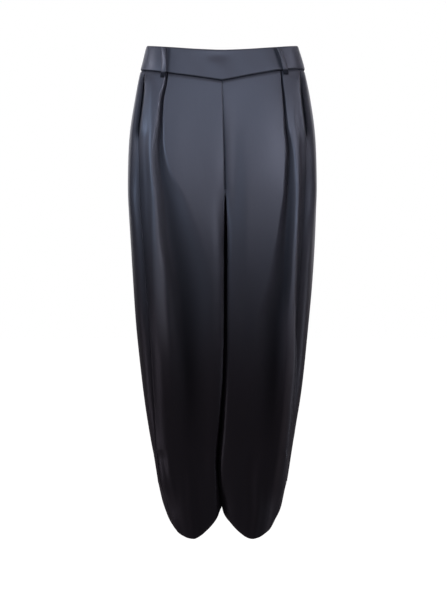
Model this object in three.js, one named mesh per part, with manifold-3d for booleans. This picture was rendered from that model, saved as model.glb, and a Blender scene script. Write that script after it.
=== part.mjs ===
// Balloon trousers in satin, filled out as if worn, in millimetres with +Z up.
// The origin is the middle of the waist opening, at the height of its sides, and the front faces -Y.
// "left" and "right" are the wearer's: the left half lies on +X.
//
// Each leg is a front and a back panel, cut in one from the waist seam to the ankle. The panels meet at the
// side seam, the inseam and the centre seams. A pointed waistband, four belt loops, two pocket facings, two
// ankle bands and a concealed zip at the centre back complete the garment.
import * as THREE from "three";
import Module from "manifold-3d";
import { mergeVertices } from "three/addons/utils/BufferGeometryUtils.js";

const wasm = await Module();
wasm.setup();

// ---- Driving dimensions -------------------------------------------------------------------------------------
const CLOTH = 1.5; // wall of a single layer
const BAND_WALL = 2.4; // waistband, cloth folded double
const SEAM_GAP = 0.3; // between neighbouring pieces
const BAND_DEPTH = 50; // height of the waistband at the side
const FRONT_DROP = 20; // the top edge is this much lower at the centre front
const FRONT_POINT = 30; // the waist seam dips by this much more at the centre front
// The waist seam also sags at its front corners, and more on the wearer's right.
const SEAM_SAG = { both: { by: 2.6, at: 0.3, over: 0.09 }, right: { by: 4.6, at: 0.2, over: 0.13 } };
const FRONT_CROTCH = -288; // where the centre front seam turns under
const BACK_CROTCH = -256; // where the centre back seam turns under
const CROTCH = -332; // lowest point of the crotch seam
const HEM_ROWS_FROM = -862; // below this the leg closes in towards the ankle
const CUFF_TOP = -915; // seam between leg and ankle band
const CUFF_DEPTH = 25;
const CUFF_X = 56; // middle of the ankle band, from the centre
const CUFF_RADIUS = { across: 39, along: 40 };
const LEGS_APART = 0.7; // half the gap between the inner legs
const INNER_CORNER = 52; // angle of the inner corner of a leg's section, in degrees from its front
// The inner legs lean to and fro below the crotch, so that there is no straight way between them.
const LEAN = { aside: 3.4, reach: 84, below: 20, over: 80 };
const SPLAY = { aside: 2, from: -840, over: 90 }; // the inner legs draw apart towards the ankles
const PARTING = 150; // the two legs part over this height below the front crotch
const ROUNDING = { from: -170, over: 260 }; // where the body's section becomes the leg's

// Sections are superellipses: the higher the power, the squarer. Each leg's section has four quarters.
const FRONT_POWER = 4.4;
const BACK_POWER = 2.3;
const LEG_POWERS = { frontInner: 8, backInner: 5, frontOuter: 4.2, backOuter: 2.2 };
const FRONT_FLAT = 0.3; // how flat a leg's front stays towards the other leg, from 0 for flat to 1 for round

// Sections of the whole garment: half its width, and how far its front and back stand from the middle.
const SECTIONS = [
  { z: 0, width: 148, front: 98, back: 98 },
  { z: -50, width: 161.5, front: 106, back: 110 },
  { z: -110, width: 174, front: 114, back: 126 },
  { z: -180, width: 183.5, front: 121, back: 138 },
  { z: -260, width: 186, front: 124, back: 142 },
  { z: -340, width: 184.5, front: 122, back: 137 },
  { z: -430, width: 180, front: 117, back: 126 },
  { z: -520, width: 173.5, front: 111, back: 113 },
  { z: -610, width: 165, front: 104, back: 101 },
  { z: -700, width: 154.5, front: 96, back: 90 },
  { z: -780, width: 143, front: 88, back: 81 },
  { z: -862, width: 129, front: 77, back: 72 },
];

// How far the side seam stands from the centre, seen from the front. It runs ahead of the widest part of the leg.
const SIDE_SEAM = [
  { z: -50, x: 152.5 },
  { z: -90, x: 153 },
  { z: -126, x: 157 },
  { z: -160, x: 161 },
  { z: -206, x: 165 },
  { z: -306, x: 161.5 },
  { z: -406, x: 155.5 },
  { z: -456, x: 152 },
  { z: -506, x: 148 },
  { z: -596, x: 142 },
  { z: -666, x: 138.5 },
  { z: -726, x: 135.5 },
  { z: -800, x: 132.5 },
  { z: -862, x: 128.5 },
];

// The main pleat of each front: a trough that opens downward from the waist seam, and the ridge outside it.
const PLEATS = {
  left: [
    { z: -52, trough: 113.5, depth: 2.5, spread: 6, ridge: 138, height: 1, width: 10 },
    { z: -100, trough: 118.5, depth: 6, spread: 9, ridge: 139.5, height: 1.5, width: 11 },
    { z: -160, trough: 123.8, depth: 9, spread: 12, ridge: 142, height: 2.5, width: 12 },
    { z: -240, trough: 129, depth: 10, spread: 16, ridge: 146, height: 4, width: 12 },
    { z: -340, trough: 125, depth: 10, spread: 24, ridge: 146, height: 5.5, width: 12 },
    { z: -440, trough: 120.5, depth: 9.5, spread: 32, ridge: 141, height: 6.5, width: 12 },
    { z: -540, trough: 107, depth: 8, spread: 36, ridge: 138, height: 7, width: 12 },
    { z: -640, trough: 102, depth: 5, spread: 34, ridge: 136, height: 6, width: 13 },
    { z: -760, trough: 94, depth: 2, spread: 32, ridge: 131, height: 4, width: 15 },
    { z: -862, trough: 88, depth: 0, spread: 30, ridge: 114, height: 0, width: 16 },
  ],
  right: [
    { z: -52, trough: 106, depth: 2.5, spread: 6, ridge: 138, height: 1, width: 12 },
    { z: -100, trough: 112.5, depth: 6, spread: 9, ridge: 138, height: 1.5, width: 13 },
    { z: -160, trough: 119.3, depth: 8.5, spread: 12, ridge: 138, height: 2.5, width: 14 },
    { z: -240, trough: 120, depth: 9, spread: 18, ridge: 136, height: 4, width: 15 },
    { z: -340, trough: 102, depth: 9, spread: 30, ridge: 127.5, height: 5, width: 17 },
    { z: -440, trough: 84.5, depth: 10, spread: 38, ridge: 119.5, height: 5.5, width: 18 },
    { z: -540, trough: 74.5, depth: 9, spread: 40, ridge: 110.5, height: 5, width: 18 },
    { z: -640, trough: 67, depth: 5, spread: 38, ridge: 102.5, height: 3, width: 18 },
    { z: -760, trough: 61.5, depth: 2, spread: 34, ridge: 98, height: 1, width: 18 },
    { z: -862, trough: 60, depth: 0, spread: 30, ridge: 96, height: 0, width: 16 },
  ],
};

// Folds elsewhere: "reads" is the coordinate that the fold is measured along, and a negative depth stands proud.
const FOLDS = [
  { half: "left", face: "back", reads: "x", from: -215, to: -840, top: 62, middle: 78, bottom: 58, spread: 26, depth: 7 },
  { half: "left", face: "back", reads: "x", from: -300, to: -760, top: 118, middle: 112, bottom: 92, spread: 24, depth: 6 },
  { half: "left", face: "back", reads: "y", from: -130, to: -700, top: 34, middle: 46, bottom: 30, spread: 24, depth: 6 },
  { half: "right", face: "back", reads: "x", from: -235, to: -800, top: 70, middle: 66, bottom: 64, spread: 28, depth: 7 },
  { half: "right", face: "back", reads: "x", from: -270, to: -800, top: 126, middle: 118, bottom: 88, spread: 22, depth: 6 },
  { half: "right", face: "back", reads: "y", from: -160, to: -760, top: 40, middle: 36, bottom: 26, spread: 26, depth: 6 },
];

// The turned-under end of a leg, from its wall to the ankle band. "outside" and "inside" are how far its two
// sides stand from the centre, "along" is half its size from front to back, "rise" is the height above the
// lowest line of the roll, and "square" is how square it is towards the other leg.
const ROLL = [
  { outside: 127, inside: 1.3, along: 71, rise: 60, square: 6 },
  { outside: 118, inside: 2, along: 64.5, rise: 26, square: 4.5 },
  { outside: 112, inside: 5.5, along: 58.5, rise: 9, square: 3 },
  { outside: 104.5, inside: 10.5, along: 52, rise: 0, square: 2.3 },
  { outside: 99, inside: 14, along: 47, rise: 8, square: 2 },
];
const ROLL_FULL = { inner: 0.75, outer: 1.1 }; // the lower, the fuller its lobes
const ROLL_LIFT = { low: 14, rise: 0.25 }; // the roll lies higher and is shorter where it faces the other leg
const ROLL_LOW = { side: -930, front: -982, back: -976 };

const HALF_GIRTH = 500; // about how far it is round the hips from centre front to centre back

// In-seam pocket: the front edge stands proud, and a facing lies behind the mouth.
const POCKET = { top: -62, bottom: -212, proud: 2.4, sunk: 1.4, mouth: 6, facingAhead: 18, facingBehind: 9, ease: 18 };

// Belt loops: how far from the centre they stand at the top and at the foot, and the size of the strap.
const LOOP = { width: 9, wall: 1.4, standOff: 3.2, overSeam: 9, belowTop: 1.5, bend: 0.75 };
const LOOPS = [
  { name: "belt_loop_front_left", side: 1, back: false, top: 104, foot: 121 },
  { name: "belt_loop_front_right", side: -1, back: false, top: 110, foot: 112.5 },
  { name: "belt_loop_back_left", side: 1, back: true, top: 78, foot: 84 },
  { name: "belt_loop_back_right", side: -1, back: true, top: 78, foot: 84 },
];

// Concealed zip at the centre back. The pull hangs from a bridge on the slider and swings about its own top bar.
const ZIP = { tapeHalf: 11, tapeWall: 1.2, top: -6, bottom: -186, underBand: 3, underPanel: 2.6 };
const SLIDER = { topWidth: 6, footWidth: 4.4, height: 9, wall: 2.2, middle: -14 };
const BRIDGE = { width: 2, wall: 1, gap: 2.4, inside: 5.2 };
const PULL = { wall: 1.3, bar: 1.1, eyeWidth: 2.8, eyeLength: 4.6, length: 27, headWidth: 5.6, footWidth: 7.4 };

// ---- Colours ------------------------------------------------------------------------------------------------
const satin = () => new THREE.MeshStandardMaterial({ color: 0x3b3c47, roughness: 0.42, metalness: 0 });
const zipMetal = () => new THREE.MeshStandardMaterial({ color: 0x2c2c34, roughness: 0.35, metalness: 0.8 });

// ---- Small tools --------------------------------------------------------------------------------------------
const rad = THREE.MathUtils.degToRad;
const clamp01 = (v) => Math.min(1, Math.max(0, v));
const clampEven = (v) => Math.min(1, Math.max(-1, v));
const mix = (a, b, t) => a + (b - a) * t;
const smooth = (v) => clamp01(v) ** 2 * (3 - 2 * clamp01(v));

// A smooth curve through a table's rows, which go from high z to low.
function read(table, column, z) {
  const last = table.length - 1;
  if (z >= table[0].z) return table[0][column];
  if (z <= table[last].z) return table[last][column];
  let i = 0;
  while (z < table[i + 1].z) i += 1;
  const slope = (k) => {
    const a = table[Math.max(0, k - 1)];
    const b = table[Math.min(last, k + 1)];
    return (b[column] - a[column]) / (b.z - a.z);
  };
  const [a, b] = [table[i], table[i + 1]];
  const h = b.z - a.z;
  const t = (z - a.z) / h;
  const [t2, t3] = [t * t, t * t * t];
  return (
    (2 * t3 - 3 * t2 + 1) * a[column] +
    (t3 - 2 * t2 + t) * h * slope(i) +
    (3 * t2 - 2 * t3) * b[column] +
    (t3 - t2) * h * slope(i + 1)
  );
}

// How far a superellipse of the given power stands outside the ellipse, at an angle.
const bulge = (angle, power) =>
  (Math.abs(Math.sin(angle)) ** power + Math.abs(Math.cos(angle)) ** power) ** (-1 / power);

// ---- Form of the garment ------------------------------------------------------------------------------------
// A point of the left half's section. "turn" is the angle round the leg in degrees: 0 at its front, 90 at the
// outside, 180 at its back; the inner wall runs from -INNER_CORNER to -90 and from 180 + INNER_CORNER to 270.
const BACK_CORNER = 180 + INNER_CORNER;
const turnOf = (share) => -INNER_CORNER + share * (180 + 2 * INNER_CORNER);
const shareOf = (turn) => clamp01((turn + INNER_CORNER) / (180 + 2 * INNER_CORNER));

function section(turn, z) {
  const [width, front, back] = ["width", "front", "back"].map((c) => read(SECTIONS, c, z));
  const apart = smooth((FRONT_CROTCH - z) / PARTING); // how far the two legs have parted
  const round = smooth((ROUNDING.from - z) / ROUNDING.over); // how far the body's section has become the leg's
  const seamX = SEAM_GAP / 2;
  const [legX, legShare] = legSection(turn, z, width);
  const reach = Math.cos(rad(turn)) > 0 ? -front : back;
  if (turn < -INNER_CORNER || turn > BACK_CORNER) {
    const cornerShare = legSection(turn < 0 ? -INNER_CORNER : BACK_CORNER, z, width)[1];
    return [mix(seamX, legX, apart), (reach * mix(1, cornerShare, round) * legShare) / cornerShare];
  }
  const angle = Math.PI * shareOf(turn);
  const out = bulge(angle, Math.cos(angle) > 0 ? FRONT_POWER : BACK_POWER);
  const bodyY = (Math.cos(angle) > 0 ? -front : back) * Math.abs(Math.cos(angle)) * out;
  return [Math.max(seamX, mix(width * Math.sin(angle) * out, legX, apart)), mix(bodyY, reach * legShare, round)];
}

// A leg's own section: x, and how far towards its front or back it stands, from 0 at its sides to 1.
function legSection(turn, z, width) {
  const inner = LEGS_APART + SPLAY.aside * smooth((SPLAY.from - z) / SPLAY.over);
  const angle = rad(turn);
  const side = Math.sin(angle) < 0 ? "Inner" : "Outer";
  const out = bulge(angle, LEG_POWERS[(Math.cos(angle) > 0 ? "front" : "back") + side]);
  const x = (inner + width) / 2 + ((width - inner) / 2) * Math.sin(angle) * out;
  const share = Math.abs(Math.cos(angle)) * out;
  const cornerShare = Math.cos(rad(INNER_CORNER)) * bulge(rad(INNER_CORNER), LEG_POWERS.frontInner);
  if (turn >= 0) return [x, share];
  return [x, turn >= -INNER_CORNER ? share ** FRONT_FLAT : share * cornerShare ** (FRONT_FLAT - 1)];
}

// Height of the top edge and of the waist seam, at a share of the way round from centre front to centre back.
const bandTop = (share) => -FRONT_DROP * Math.max(0, Math.cos(Math.PI * share)) ** 1.7;
const sag = ({ by, at, over }, share) => by * Math.exp(-(((share - at) / over) ** 2));
function waistSeam(share, half) {
  if (share > 0.5) return -BAND_DEPTH;
  const across = Math.sin(Math.PI * share) * bulge(Math.PI * share, FRONT_POWER);
  const extra = sag(SEAM_SAG.both, share) + (half === "right" ? sag(SEAM_SAG.right, share) : 0);
  return -BAND_DEPTH - FRONT_POINT * Math.max(0, 1 - across) ** 1.08 - extra;
}

// A trough or ridge across the cloth: 1 at its middle and 0 from "spread" away.
const crease = (distance, spread) => {
  const t = Math.abs(distance) / spread;
  return t < 1 ? Math.cos((Math.PI * t) / 2) ** 2 : 0;
};

// How far the cloth stands out of its section, at a point of it.
function relief(half, turn, x, y, z) {
  let out = 0;
  if (turn < 90 && turn > -20) {
    const at = (column) => read(PLEATS[half], column, z);
    out -= at("depth") * crease(x - at("trough"), at("spread"));
    out += at("height") * crease(x - at("ridge"), at("width"));
  }
  for (const f of FOLDS) {
    if (f.half !== half || turn < 90 || z > f.from || z < f.to) continue;
    const t = (f.from - z) / (f.from - f.to);
    const line = f.top * (1 - t) * (1 - 2 * t) + f.middle * 4 * t * (1 - t) + f.bottom * t * (2 * t - 1);
    const here = f.reads === "x" ? x : y;
    const strength = smooth(t / 0.3) * smooth((1 - t) / 0.3);
    if (f.reads === "x" || turn < 150) out -= f.depth * strength * crease(here - line, f.spread);
  }
  return out;
}

// The cloth's outer face on the left or right half, with its folds. x is mirrored for the right half at the end.
function clothPoint(half, turn, z) {
  const [x, y] = section(turn, z);
  const [x1, y1] = section(turn + 0.5, z);
  const [x0, y0] = section(turn - 0.5, z);
  const length = Math.hypot(x1 - x0, y1 - y0) || 1;
  const out = relief(half, turn, x, y, z);
  const inWall = turn < -INNER_CORNER || turn > BACK_CORNER;
  const lowEnough = inWall ? smooth((CROTCH - LEAN.below - z) / LEAN.over) : 0;
  const lean = LEAN.aside * Math.sin(Math.PI * clampEven(y / LEAN.reach)) * lowEnough;
  const sign = half === "left" ? 1 : -1;
  return new THREE.Vector3(x + ((y1 - y0) / length) * out + sign * lean, y - ((x1 - x0) / length) * out, z);
}

// The turned-under end of a leg: row 0 is the first below the wall.
function rollPoint(turn, row) {
  const { outside, inside, along, rise, square } = ROLL[row];
  const angle = rad(turn);
  const ends = Math.cos(angle) > 0 ? ROLL_LOW.front : ROLL_LOW.back;
  const full = Math.sin(angle) < 0 ? ROLL_FULL.inner : ROLL_FULL.outer;
  const low = mix(ROLL_LOW.side, ends, Math.abs(Math.cos(angle)) ** full);
  const inner = smooth(-Math.sin(angle));
  const out = bulge(angle, Math.sin(angle) < 0 ? square : 2);
  return new THREE.Vector3(
    (outside + inside) / 2 + ((outside - inside) / 2) * Math.sin(angle) * out,
    -along * Math.cos(angle) * out,
    low + ROLL_LIFT.low * inner + rise * (1 - ROLL_LIFT.rise * inner),
  );
}
const cuffPoint = (turn, z, inset = 0) =>
  new THREE.Vector3(
    CUFF_X + (CUFF_RADIUS.across - inset) * Math.sin(rad(turn)),
    -(CUFF_RADIUS.along - inset) * Math.cos(rad(turn)),
    z,
  );

// ---- Shells -------------------------------------------------------------------------------------------------
// A closed wall from its outer face: "points", their triangles, and for each point an optional axis that its
// thickness may not lean along, which keeps the cut edges of neighbouring pieces parallel.
function shell(points, triangles, wall, flatAlong = []) {
  const normals = points.map(() => new THREE.Vector3());
  for (const [a, b, c] of triangles) {
    const face = new THREE.Vector3()
      .subVectors(points[b], points[a])
      .cross(new THREE.Vector3().subVectors(points[c], points[a]));
    for (const i of [a, b, c]) normals[i].add(face);
  }
  normals.forEach((n, i) => {
    for (const axis of flatAlong[i] ?? "") n[axis] = 0;
    n.normalize();
  });
  const inner = points.map((p, i) => p.clone().addScaledVector(normals[i], -wall));
  const count = points.length;
  const faces = [];
  const open = new Map();
  for (const [a, b, c] of triangles) {
    faces.push(a, b, c, a + count, c + count, b + count);
    for (const [i, j] of [[a, b], [b, c], [c, a]]) {
      const key = `${j},${i}`;
      if (open.has(key)) open.delete(key);
      else open.set(`${i},${j}`, [i, j]);
    }
  }
  for (const [i, j] of open.values()) faces.push(j, i, i + count, j, i + count, j + count);
  const geometry = new THREE.BufferGeometry();
  geometry.setAttribute(
    "position",
    new THREE.BufferAttribute(new Float32Array([...points, ...inner].flatMap((p) => p.toArray())), 3),
  );
  geometry.setIndex(faces);
  geometry.computeVertexNormals();
  return geometry;
}

// Triangles between two rows of points whose shares run from 0 to 1 along each row.
function zip(rowA, sharesA, rowB, sharesB) {
  const faces = [];
  let [i, j] = [0, 0];
  while (i < rowA.length - 1 || j < rowB.length - 1) {
    const stepA = i < rowA.length - 1 && (j === rowB.length - 1 || sharesA[i + 1] <= sharesB[j + 1]);
    if (stepA) {
      faces.push([rowA[i], rowB[j], rowA[i + 1]]);
      i += 1;
    } else {
      faces.push([rowA[i], rowB[j], rowB[j + 1]]);
      j += 1;
    }
  }
  return faces;
}

// A wall from a grid of rows that all have the same number of points.
function gridShell(rows, wall, flat = () => "") {
  const across = rows[0].length;
  const closed = rows.closed;
  const faces = [];
  for (let r = 0; r < rows.length - 1; r += 1) {
    for (let c = 0; c < (closed ? across : across - 1); c += 1) {
      const [a, b] = [r * across + c, r * across + ((c + 1) % across)];
      faces.push([a, a + across, b], [b, a + across, b + across]);
    }
  }
  const axes = rows.flatMap((row, r) => row.map((_, c) => flat(r, c)));
  return shell(rows.flat(), faces, wall, axes);
}

// Turns a geometry the right way out, and mirrors it to the right half where asked.
function settle(geometry, mirrored) {
  const points = geometry.attributes.position;
  const order = geometry.index.array;
  if (mirrored) for (let i = 0; i < points.count; i += 1) points.setX(i, -points.getX(i));
  const corner = (k) => new THREE.Vector3().fromBufferAttribute(points, order[k]);
  let volume = 0;
  for (let i = 0; i < order.length; i += 3) volume += corner(i).dot(corner(i + 1).cross(corner(i + 2)));
  if (volume < 0)
    for (let i = 0; i < order.length; i += 3) [order[i + 1], order[i + 2]] = [order[i + 2], order[i + 1]];
  geometry.computeVertexNormals();
  return geometry;
}

const garment = new THREE.Group();
function addPiece(name, geometry, material, mirrored = false) {
  const mesh = new THREE.Mesh(settle(geometry, mirrored), material);
  mesh.name = name;
  garment.add(mesh);
  return mesh;
}

// ---- Leg panels ---------------------------------------------------------------------------------------------
// Where the crotch seam has got to on the inner wall, at a height: the share of the way from the corner (0) to
// the inseam (1). Above the crotch there is no inner wall.
const crotchShare = (z, start) =>
  z >= start ? 0 : z <= CROTCH ? 1 : 1 - Math.sqrt(1 - ((start - z) / (start - CROTCH)) ** 2);
const crotchHeight = (share, start) => start - (start - CROTCH) * Math.sqrt(1 - (1 - share) ** 2);
const WALL_STEPS = [0, 0.25, 0.5, 0.75, 1];

const PANEL_ROWS = [
  ...[-50, -64, -95, -120, -150, -182, -214, -244],
  ...WALL_STEPS.slice(0, -1).flatMap((s) => [crotchHeight(s, FRONT_CROTCH), crotchHeight(s, BACK_CROTCH)]),
  ...[CROTCH, -366, -402, -440, -480, -520, -562, -606, -652, -700, -744, -786, -826, HEM_ROWS_FROM],
]
  .sort((a, b) => b - a)
  .filter((z, i, all) => i === 0 || all[i - 1] - z > 4);

// The share of the way round, on the front or the back, at which the outer face stands x from the centre.
function shareAt(x, z, back = false) {
  let [low, high] = [back ? 1 : 0, 0.5];
  for (let step = 0; step < 24; step += 1) {
    const middle = (low + high) / 2;
    if (section(turnOf(middle), z)[0] < x) low = middle;
    else high = middle;
  }
  return low;
}
const sideShare = (z) => shareAt(read(SIDE_SEAM, "x", z), z);

// Columns of a front panel, as shares from the centre: they follow the pleat, so that few of them hold it.
function frontColumns(half, z) {
  const at = (column) => read(PLEATS[half], column, z);
  const side = sideShare(z);
  const trough = shareAt(at("trough"), z);
  const shoulder = shareAt(at("trough") - at("spread"), z);
  const ridge = Math.min(shareAt(at("ridge"), z), side - 0.012);
  return [
    0,
    shoulder * 0.1,
    shoulder * 0.36,
    shoulder * 0.68,
    shoulder,
    trough,
    (trough + ridge) / 2,
    ridge,
    (ridge + side) / 2,
    side,
  ];
}
const BACK_STEPS = [0, 0.08, 0.18, 0.29, 0.4, 0.51, 0.62, 0.73, 0.84, 0.95, 1];
const backColumns = (z) => BACK_STEPS.map((s) => mix(1, sideShare(z), s));

// Pocket edges move out on the front panel and in on the back panel, most at the seam itself.
const pocketSwell = (z) =>
  smooth((POCKET.top - z) / POCKET.ease) * smooth((z - POCKET.bottom) / POCKET.ease);

function legPanel(half, face) {
  const front = face === "front";
  const start = front ? FRONT_CROTCH : BACK_CROTCH;
  const corner = front ? -INNER_CORNER : BACK_CORNER;
  const inseam = front ? -90 : 270;
  const points = [];
  const axes = [];
  const rows = [];
  const put = (p, axis) => {
    points.push(p);
    axes.push(axis);
    return points.length - 1;
  };
  for (const z of PANEL_ROWS) {
    const columns = front ? frontColumns(half, z) : backColumns(z);
    const outer = columns.map((share, c) => {
      const lift = waistSeam(share, half) + BAND_DEPTH;
      const height = z + lift * smooth((z + 180) / 130) - (z === PANEL_ROWS[0] ? SEAM_GAP : 0);
      const atSeam = c === columns.length - 1;
      const p = clothPoint(half, turnOf(share), height);
      if (atSeam) p.y += front ? -SEAM_GAP / 2 : SEAM_GAP / 2;
      const near = c === columns.length - 1 ? 1 : c === columns.length - 2 ? 0.35 : 0;
      const swell = near * pocketSwell(height);
      p.x += swell * (front ? POCKET.proud : -POCKET.sunk);
      if (front) p.y -= swell * POCKET.mouth;
      const axis = (atSeam ? "y" : "") + (c === 0 && z >= start ? "x" : "") + (z === PANEL_ROWS[0] ? "z" : "");
      return put(p, axis);
    });
    const end = crotchShare(z, start);
    const shares = [0, ...WALL_STEPS.filter((s) => s > 0 && s < end - 0.02), ...(end > 0 ? [end] : [])];
    const wall = shares.map((s) => {
      if (s === 0) return outer[0];
      const p = clothPoint(half, mix(corner, inseam, s), z);
      const onInseam = s === 1;
      if (onInseam) p.y += front ? -SEAM_GAP / 2 : SEAM_GAP / 2;
      return put(p, onInseam ? "y" : "");
    });
    rows.push({ outer, wall, shares: shares.map((s) => (end > 0 ? s / end : 0)), raw: shares });
  }
  // Turned-under end, then the edge that meets the ankle band.
  const lastColumns = front ? frontColumns(half, HEM_ROWS_FROM) : backColumns(HEM_ROWS_FROM);
  for (let r = 0; r <= ROLL.length; r += 1) {
    const isEdge = r === ROLL.length;
    const blend = clamp01((r + 1) / 2);
    const at = (turn) => (isEdge ? cuffPoint(turn, CUFF_TOP + SEAM_GAP, -0.9) : rollPoint(turn, r));
    const outer = lastColumns.map((share, c) => {
      const atSeam = c === lastColumns.length - 1;
      const even = (0.5 * c) / (lastColumns.length - 1);
      const seamShare = mix(share, front ? even : 1 - even, blend);
      const p = at(turnOf(seamShare));
      if (atSeam) p.y += front ? -SEAM_GAP / 2 : SEAM_GAP / 2;
      return put(p, (atSeam ? "y" : "") + (isEdge ? "z" : ""));
    });
    const wall = WALL_STEPS.map((s) => {
      if (s === 0) return outer[0];
      const p = at(mix(corner, inseam, s));
      if (s === 1) p.y += front ? -SEAM_GAP / 2 : SEAM_GAP / 2;
      return put(p, (s === 1 ? "y" : "") + (isEdge ? "z" : ""));
    });
    rows.push({ outer, wall, shares: WALL_STEPS, raw: WALL_STEPS });
  }
  const faces = [];
  for (let r = 0; r < rows.length - 1; r += 1) {
    const [a, b] = [rows[r], rows[r + 1]];
    for (let c = 0; c < a.outer.length - 1; c += 1)
      faces.push([a.outer[c], a.outer[c + 1], b.outer[c]], [a.outer[c + 1], b.outer[c + 1], b.outer[c]]);
    for (const f of zip(a.wall, a.raw, b.wall, b.raw)) faces.push(f);
  }
  return shell(points, front ? faces.map(([a, b, c]) => [a, c, b]) : faces, CLOTH, axes);
}

for (const half of ["left", "right"])
  for (const face of ["front", "back"])
    addPiece(`${face}_leg_${half}`, legPanel(half, face), satin(), half === "right");

// ---- Waistband ----------------------------------------------------------------------------------------------
const bandPoint = (share, v, half) => {
  const z = mix(bandTop(share), waistSeam(share, half), v);
  const [x, y] = section(turnOf(share), z);
  return new THREE.Vector3(x, y, z);
};
const BAND_SIDE = sideShare(-BAND_DEPTH);
const steps = (count) => Array.from({ length: count + 1 }, (_, i) => i / count);

function frontBand() {
  const shares = [...steps(11).map((s) => -BAND_SIDE + s * BAND_SIDE), ...steps(11).slice(1).map((s) => s * BAND_SIDE)];
  const rows = steps(4).map((v) =>
    shares.map((share) => {
      const p = bandPoint(Math.abs(share), v, share < 0 ? "right" : "left");
      if (share === 0) p.x = 0;
      if (share < 0) p.x = -p.x;
      if (Math.abs(share) === BAND_SIDE) p.y -= SEAM_GAP / 2;
      return p;
    }),
  );
  const ends = [0, shares.length - 1];
  return gridShell(rows, BAND_WALL, (r, c) => (ends.includes(c) ? "y" : "") + (r === 0 || r === 4 ? "z" : ""));
}
function backBand(half) {
  const rows = steps(4).map((v) =>
    steps(12).map((s) => {
      const p = bandPoint(mix(BAND_SIDE, 1, s), v, half);
      if (s === 0) p.y += SEAM_GAP / 2;
      return p;
    }),
  );
  return gridShell(rows, BAND_WALL, (r, c) => (c === 0 ? "y" : c === 12 ? "x" : "") + (r === 0 || r === 4 ? "z" : ""));
}
addPiece("waistband_front", frontBand(), satin());
addPiece("waistband_back_left", backBand("left"), satin());
addPiece("waistband_back_right", backBand("right"), satin(), true);

// ---- Belt loops ---------------------------------------------------------------------------------------------
// A strap down the band, sewn at its top edge and just below the waist seam, with room for a belt behind it.
function beltLoop({ side, back, top, foot }) {
  const down = steps(10);
  const rows = down.map((s) => {
    const share = shareAt(mix(top, foot, s ** LOOP.bend), -60 * s, back);
    const high = bandTop(share) - LOOP.belowTop;
    const z = mix(high, waistSeam(share, side < 0 ? "right" : "left") - LOOP.overSeam, s);
    const lift = SEAM_GAP + LOOP.wall + LOOP.standOff * smooth(Math.min(s, 1 - s) / 0.22);
    const turn = turnOf(share);
    const [x, y] = section(turn, z);
    const [x1, y1] = section(turn + 0.5, z);
    const [x0, y0] = section(turn - 0.5, z);
    const length = Math.hypot(x1 - x0, y1 - y0);
    const [tx, ty] = [(x1 - x0) / length, (y1 - y0) / length];
    return [-0.5, 0, 0.5].map((k) => {
      const along = k * LOOP.width;
      return new THREE.Vector3(x + ty * lift + tx * along, y - tx * lift + ty * along, z);
    });
  });
  return gridShell(rows, LOOP.wall);
}
for (const loop of LOOPS) addPiece(loop.name, beltLoop(loop), satin(), loop.side < 0);

// ---- Pocket facings -----------------------------------------------------------------------------------------
function pocketFacing(half) {
  const depth = POCKET.sunk + CLOTH + 0.6;
  const rows = steps(8).map((v) => {
    const z = mix(POCKET.top + 4, POCKET.bottom - 14, v);
    const side = sideShare(z);
    return steps(4).map((s) => {
      const along = mix(-POCKET.facingAhead, POCKET.facingBehind, s);
      const turn = turnOf(side + along / HALF_GIRTH);
      const [x, y] = section(turn, z);
      const [x1, y1] = section(turn + 0.5, z);
      const [x0, y0] = section(turn - 0.5, z);
      const length = Math.hypot(x1 - x0, y1 - y0);
      const under = depth + 3.2 * smooth(-along / POCKET.facingAhead);
      return new THREE.Vector3(x - ((y1 - y0) / length) * under, y + ((x1 - x0) / length) * under, z);
    });
  });
  return gridShell(rows, 1.2);
}
addPiece("pocket_facing_left", pocketFacing("left"), satin());
addPiece("pocket_facing_right", pocketFacing("right"), satin(), true);

// ---- Ankle bands --------------------------------------------------------------------------------------------
function ankleBand() {
  const rows = steps(2).map((v) =>
    steps(28)
      .slice(0, -1)
      .map((s) => cuffPoint(360 * s, CUFF_TOP - v * CUFF_DEPTH)),
  );
  rows.closed = true;
  return gridShell(rows, BAND_WALL, (r) => (r === 1 ? "" : "z"));
}
addPiece("ankle_band_left", ankleBand(), satin());
addPiece("ankle_band_right", ankleBand(), satin(), true);

// ---- Concealed zip ------------------------------------------------------------------------------------------
function zipTape() {
  const rows = steps(9).map((v) => {
    const z = mix(ZIP.top, ZIP.bottom, v);
    const [width, back] = [read(SECTIONS, "width", z), read(SECTIONS, "back", z)];
    const under = mix(ZIP.underBand, ZIP.underPanel, smooth((-BAND_DEPTH - z) / 20));
    return steps(4).map((s) => {
      const x = mix(ZIP.tapeHalf, -ZIP.tapeHalf, s);
      const y = back * (1 - (Math.abs(x) / width) ** BACK_POWER) ** (1 / BACK_POWER);
      return new THREE.Vector3(x, y - under, z);
    });
  });
  return gridShell(rows, ZIP.tapeWall);
}
addPiece("zip_tape", zipTape(), satin());

const toManifold = (geometry) => {
  const plain = geometry.clone();
  plain.deleteAttribute("normal");
  plain.deleteAttribute("uv");
  const merged = mergeVertices(plain, 1e-4);
  return new wasm.Manifold(
    new wasm.Mesh({
      numProp: 3,
      vertProperties: merged.attributes.position.array,
      triVerts: new Uint32Array(merged.index.array),
    }),
  );
};
const fromManifold = (solid) => {
  const { vertProperties, triVerts } = solid.getMesh();
  const geometry = new THREE.BufferGeometry();
  geometry.setAttribute("position", new THREE.BufferAttribute(new Float32Array(vertProperties), 3));
  geometry.setIndex([...triVerts]);
  geometry.computeVertexNormals();
  return geometry;
};

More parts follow.
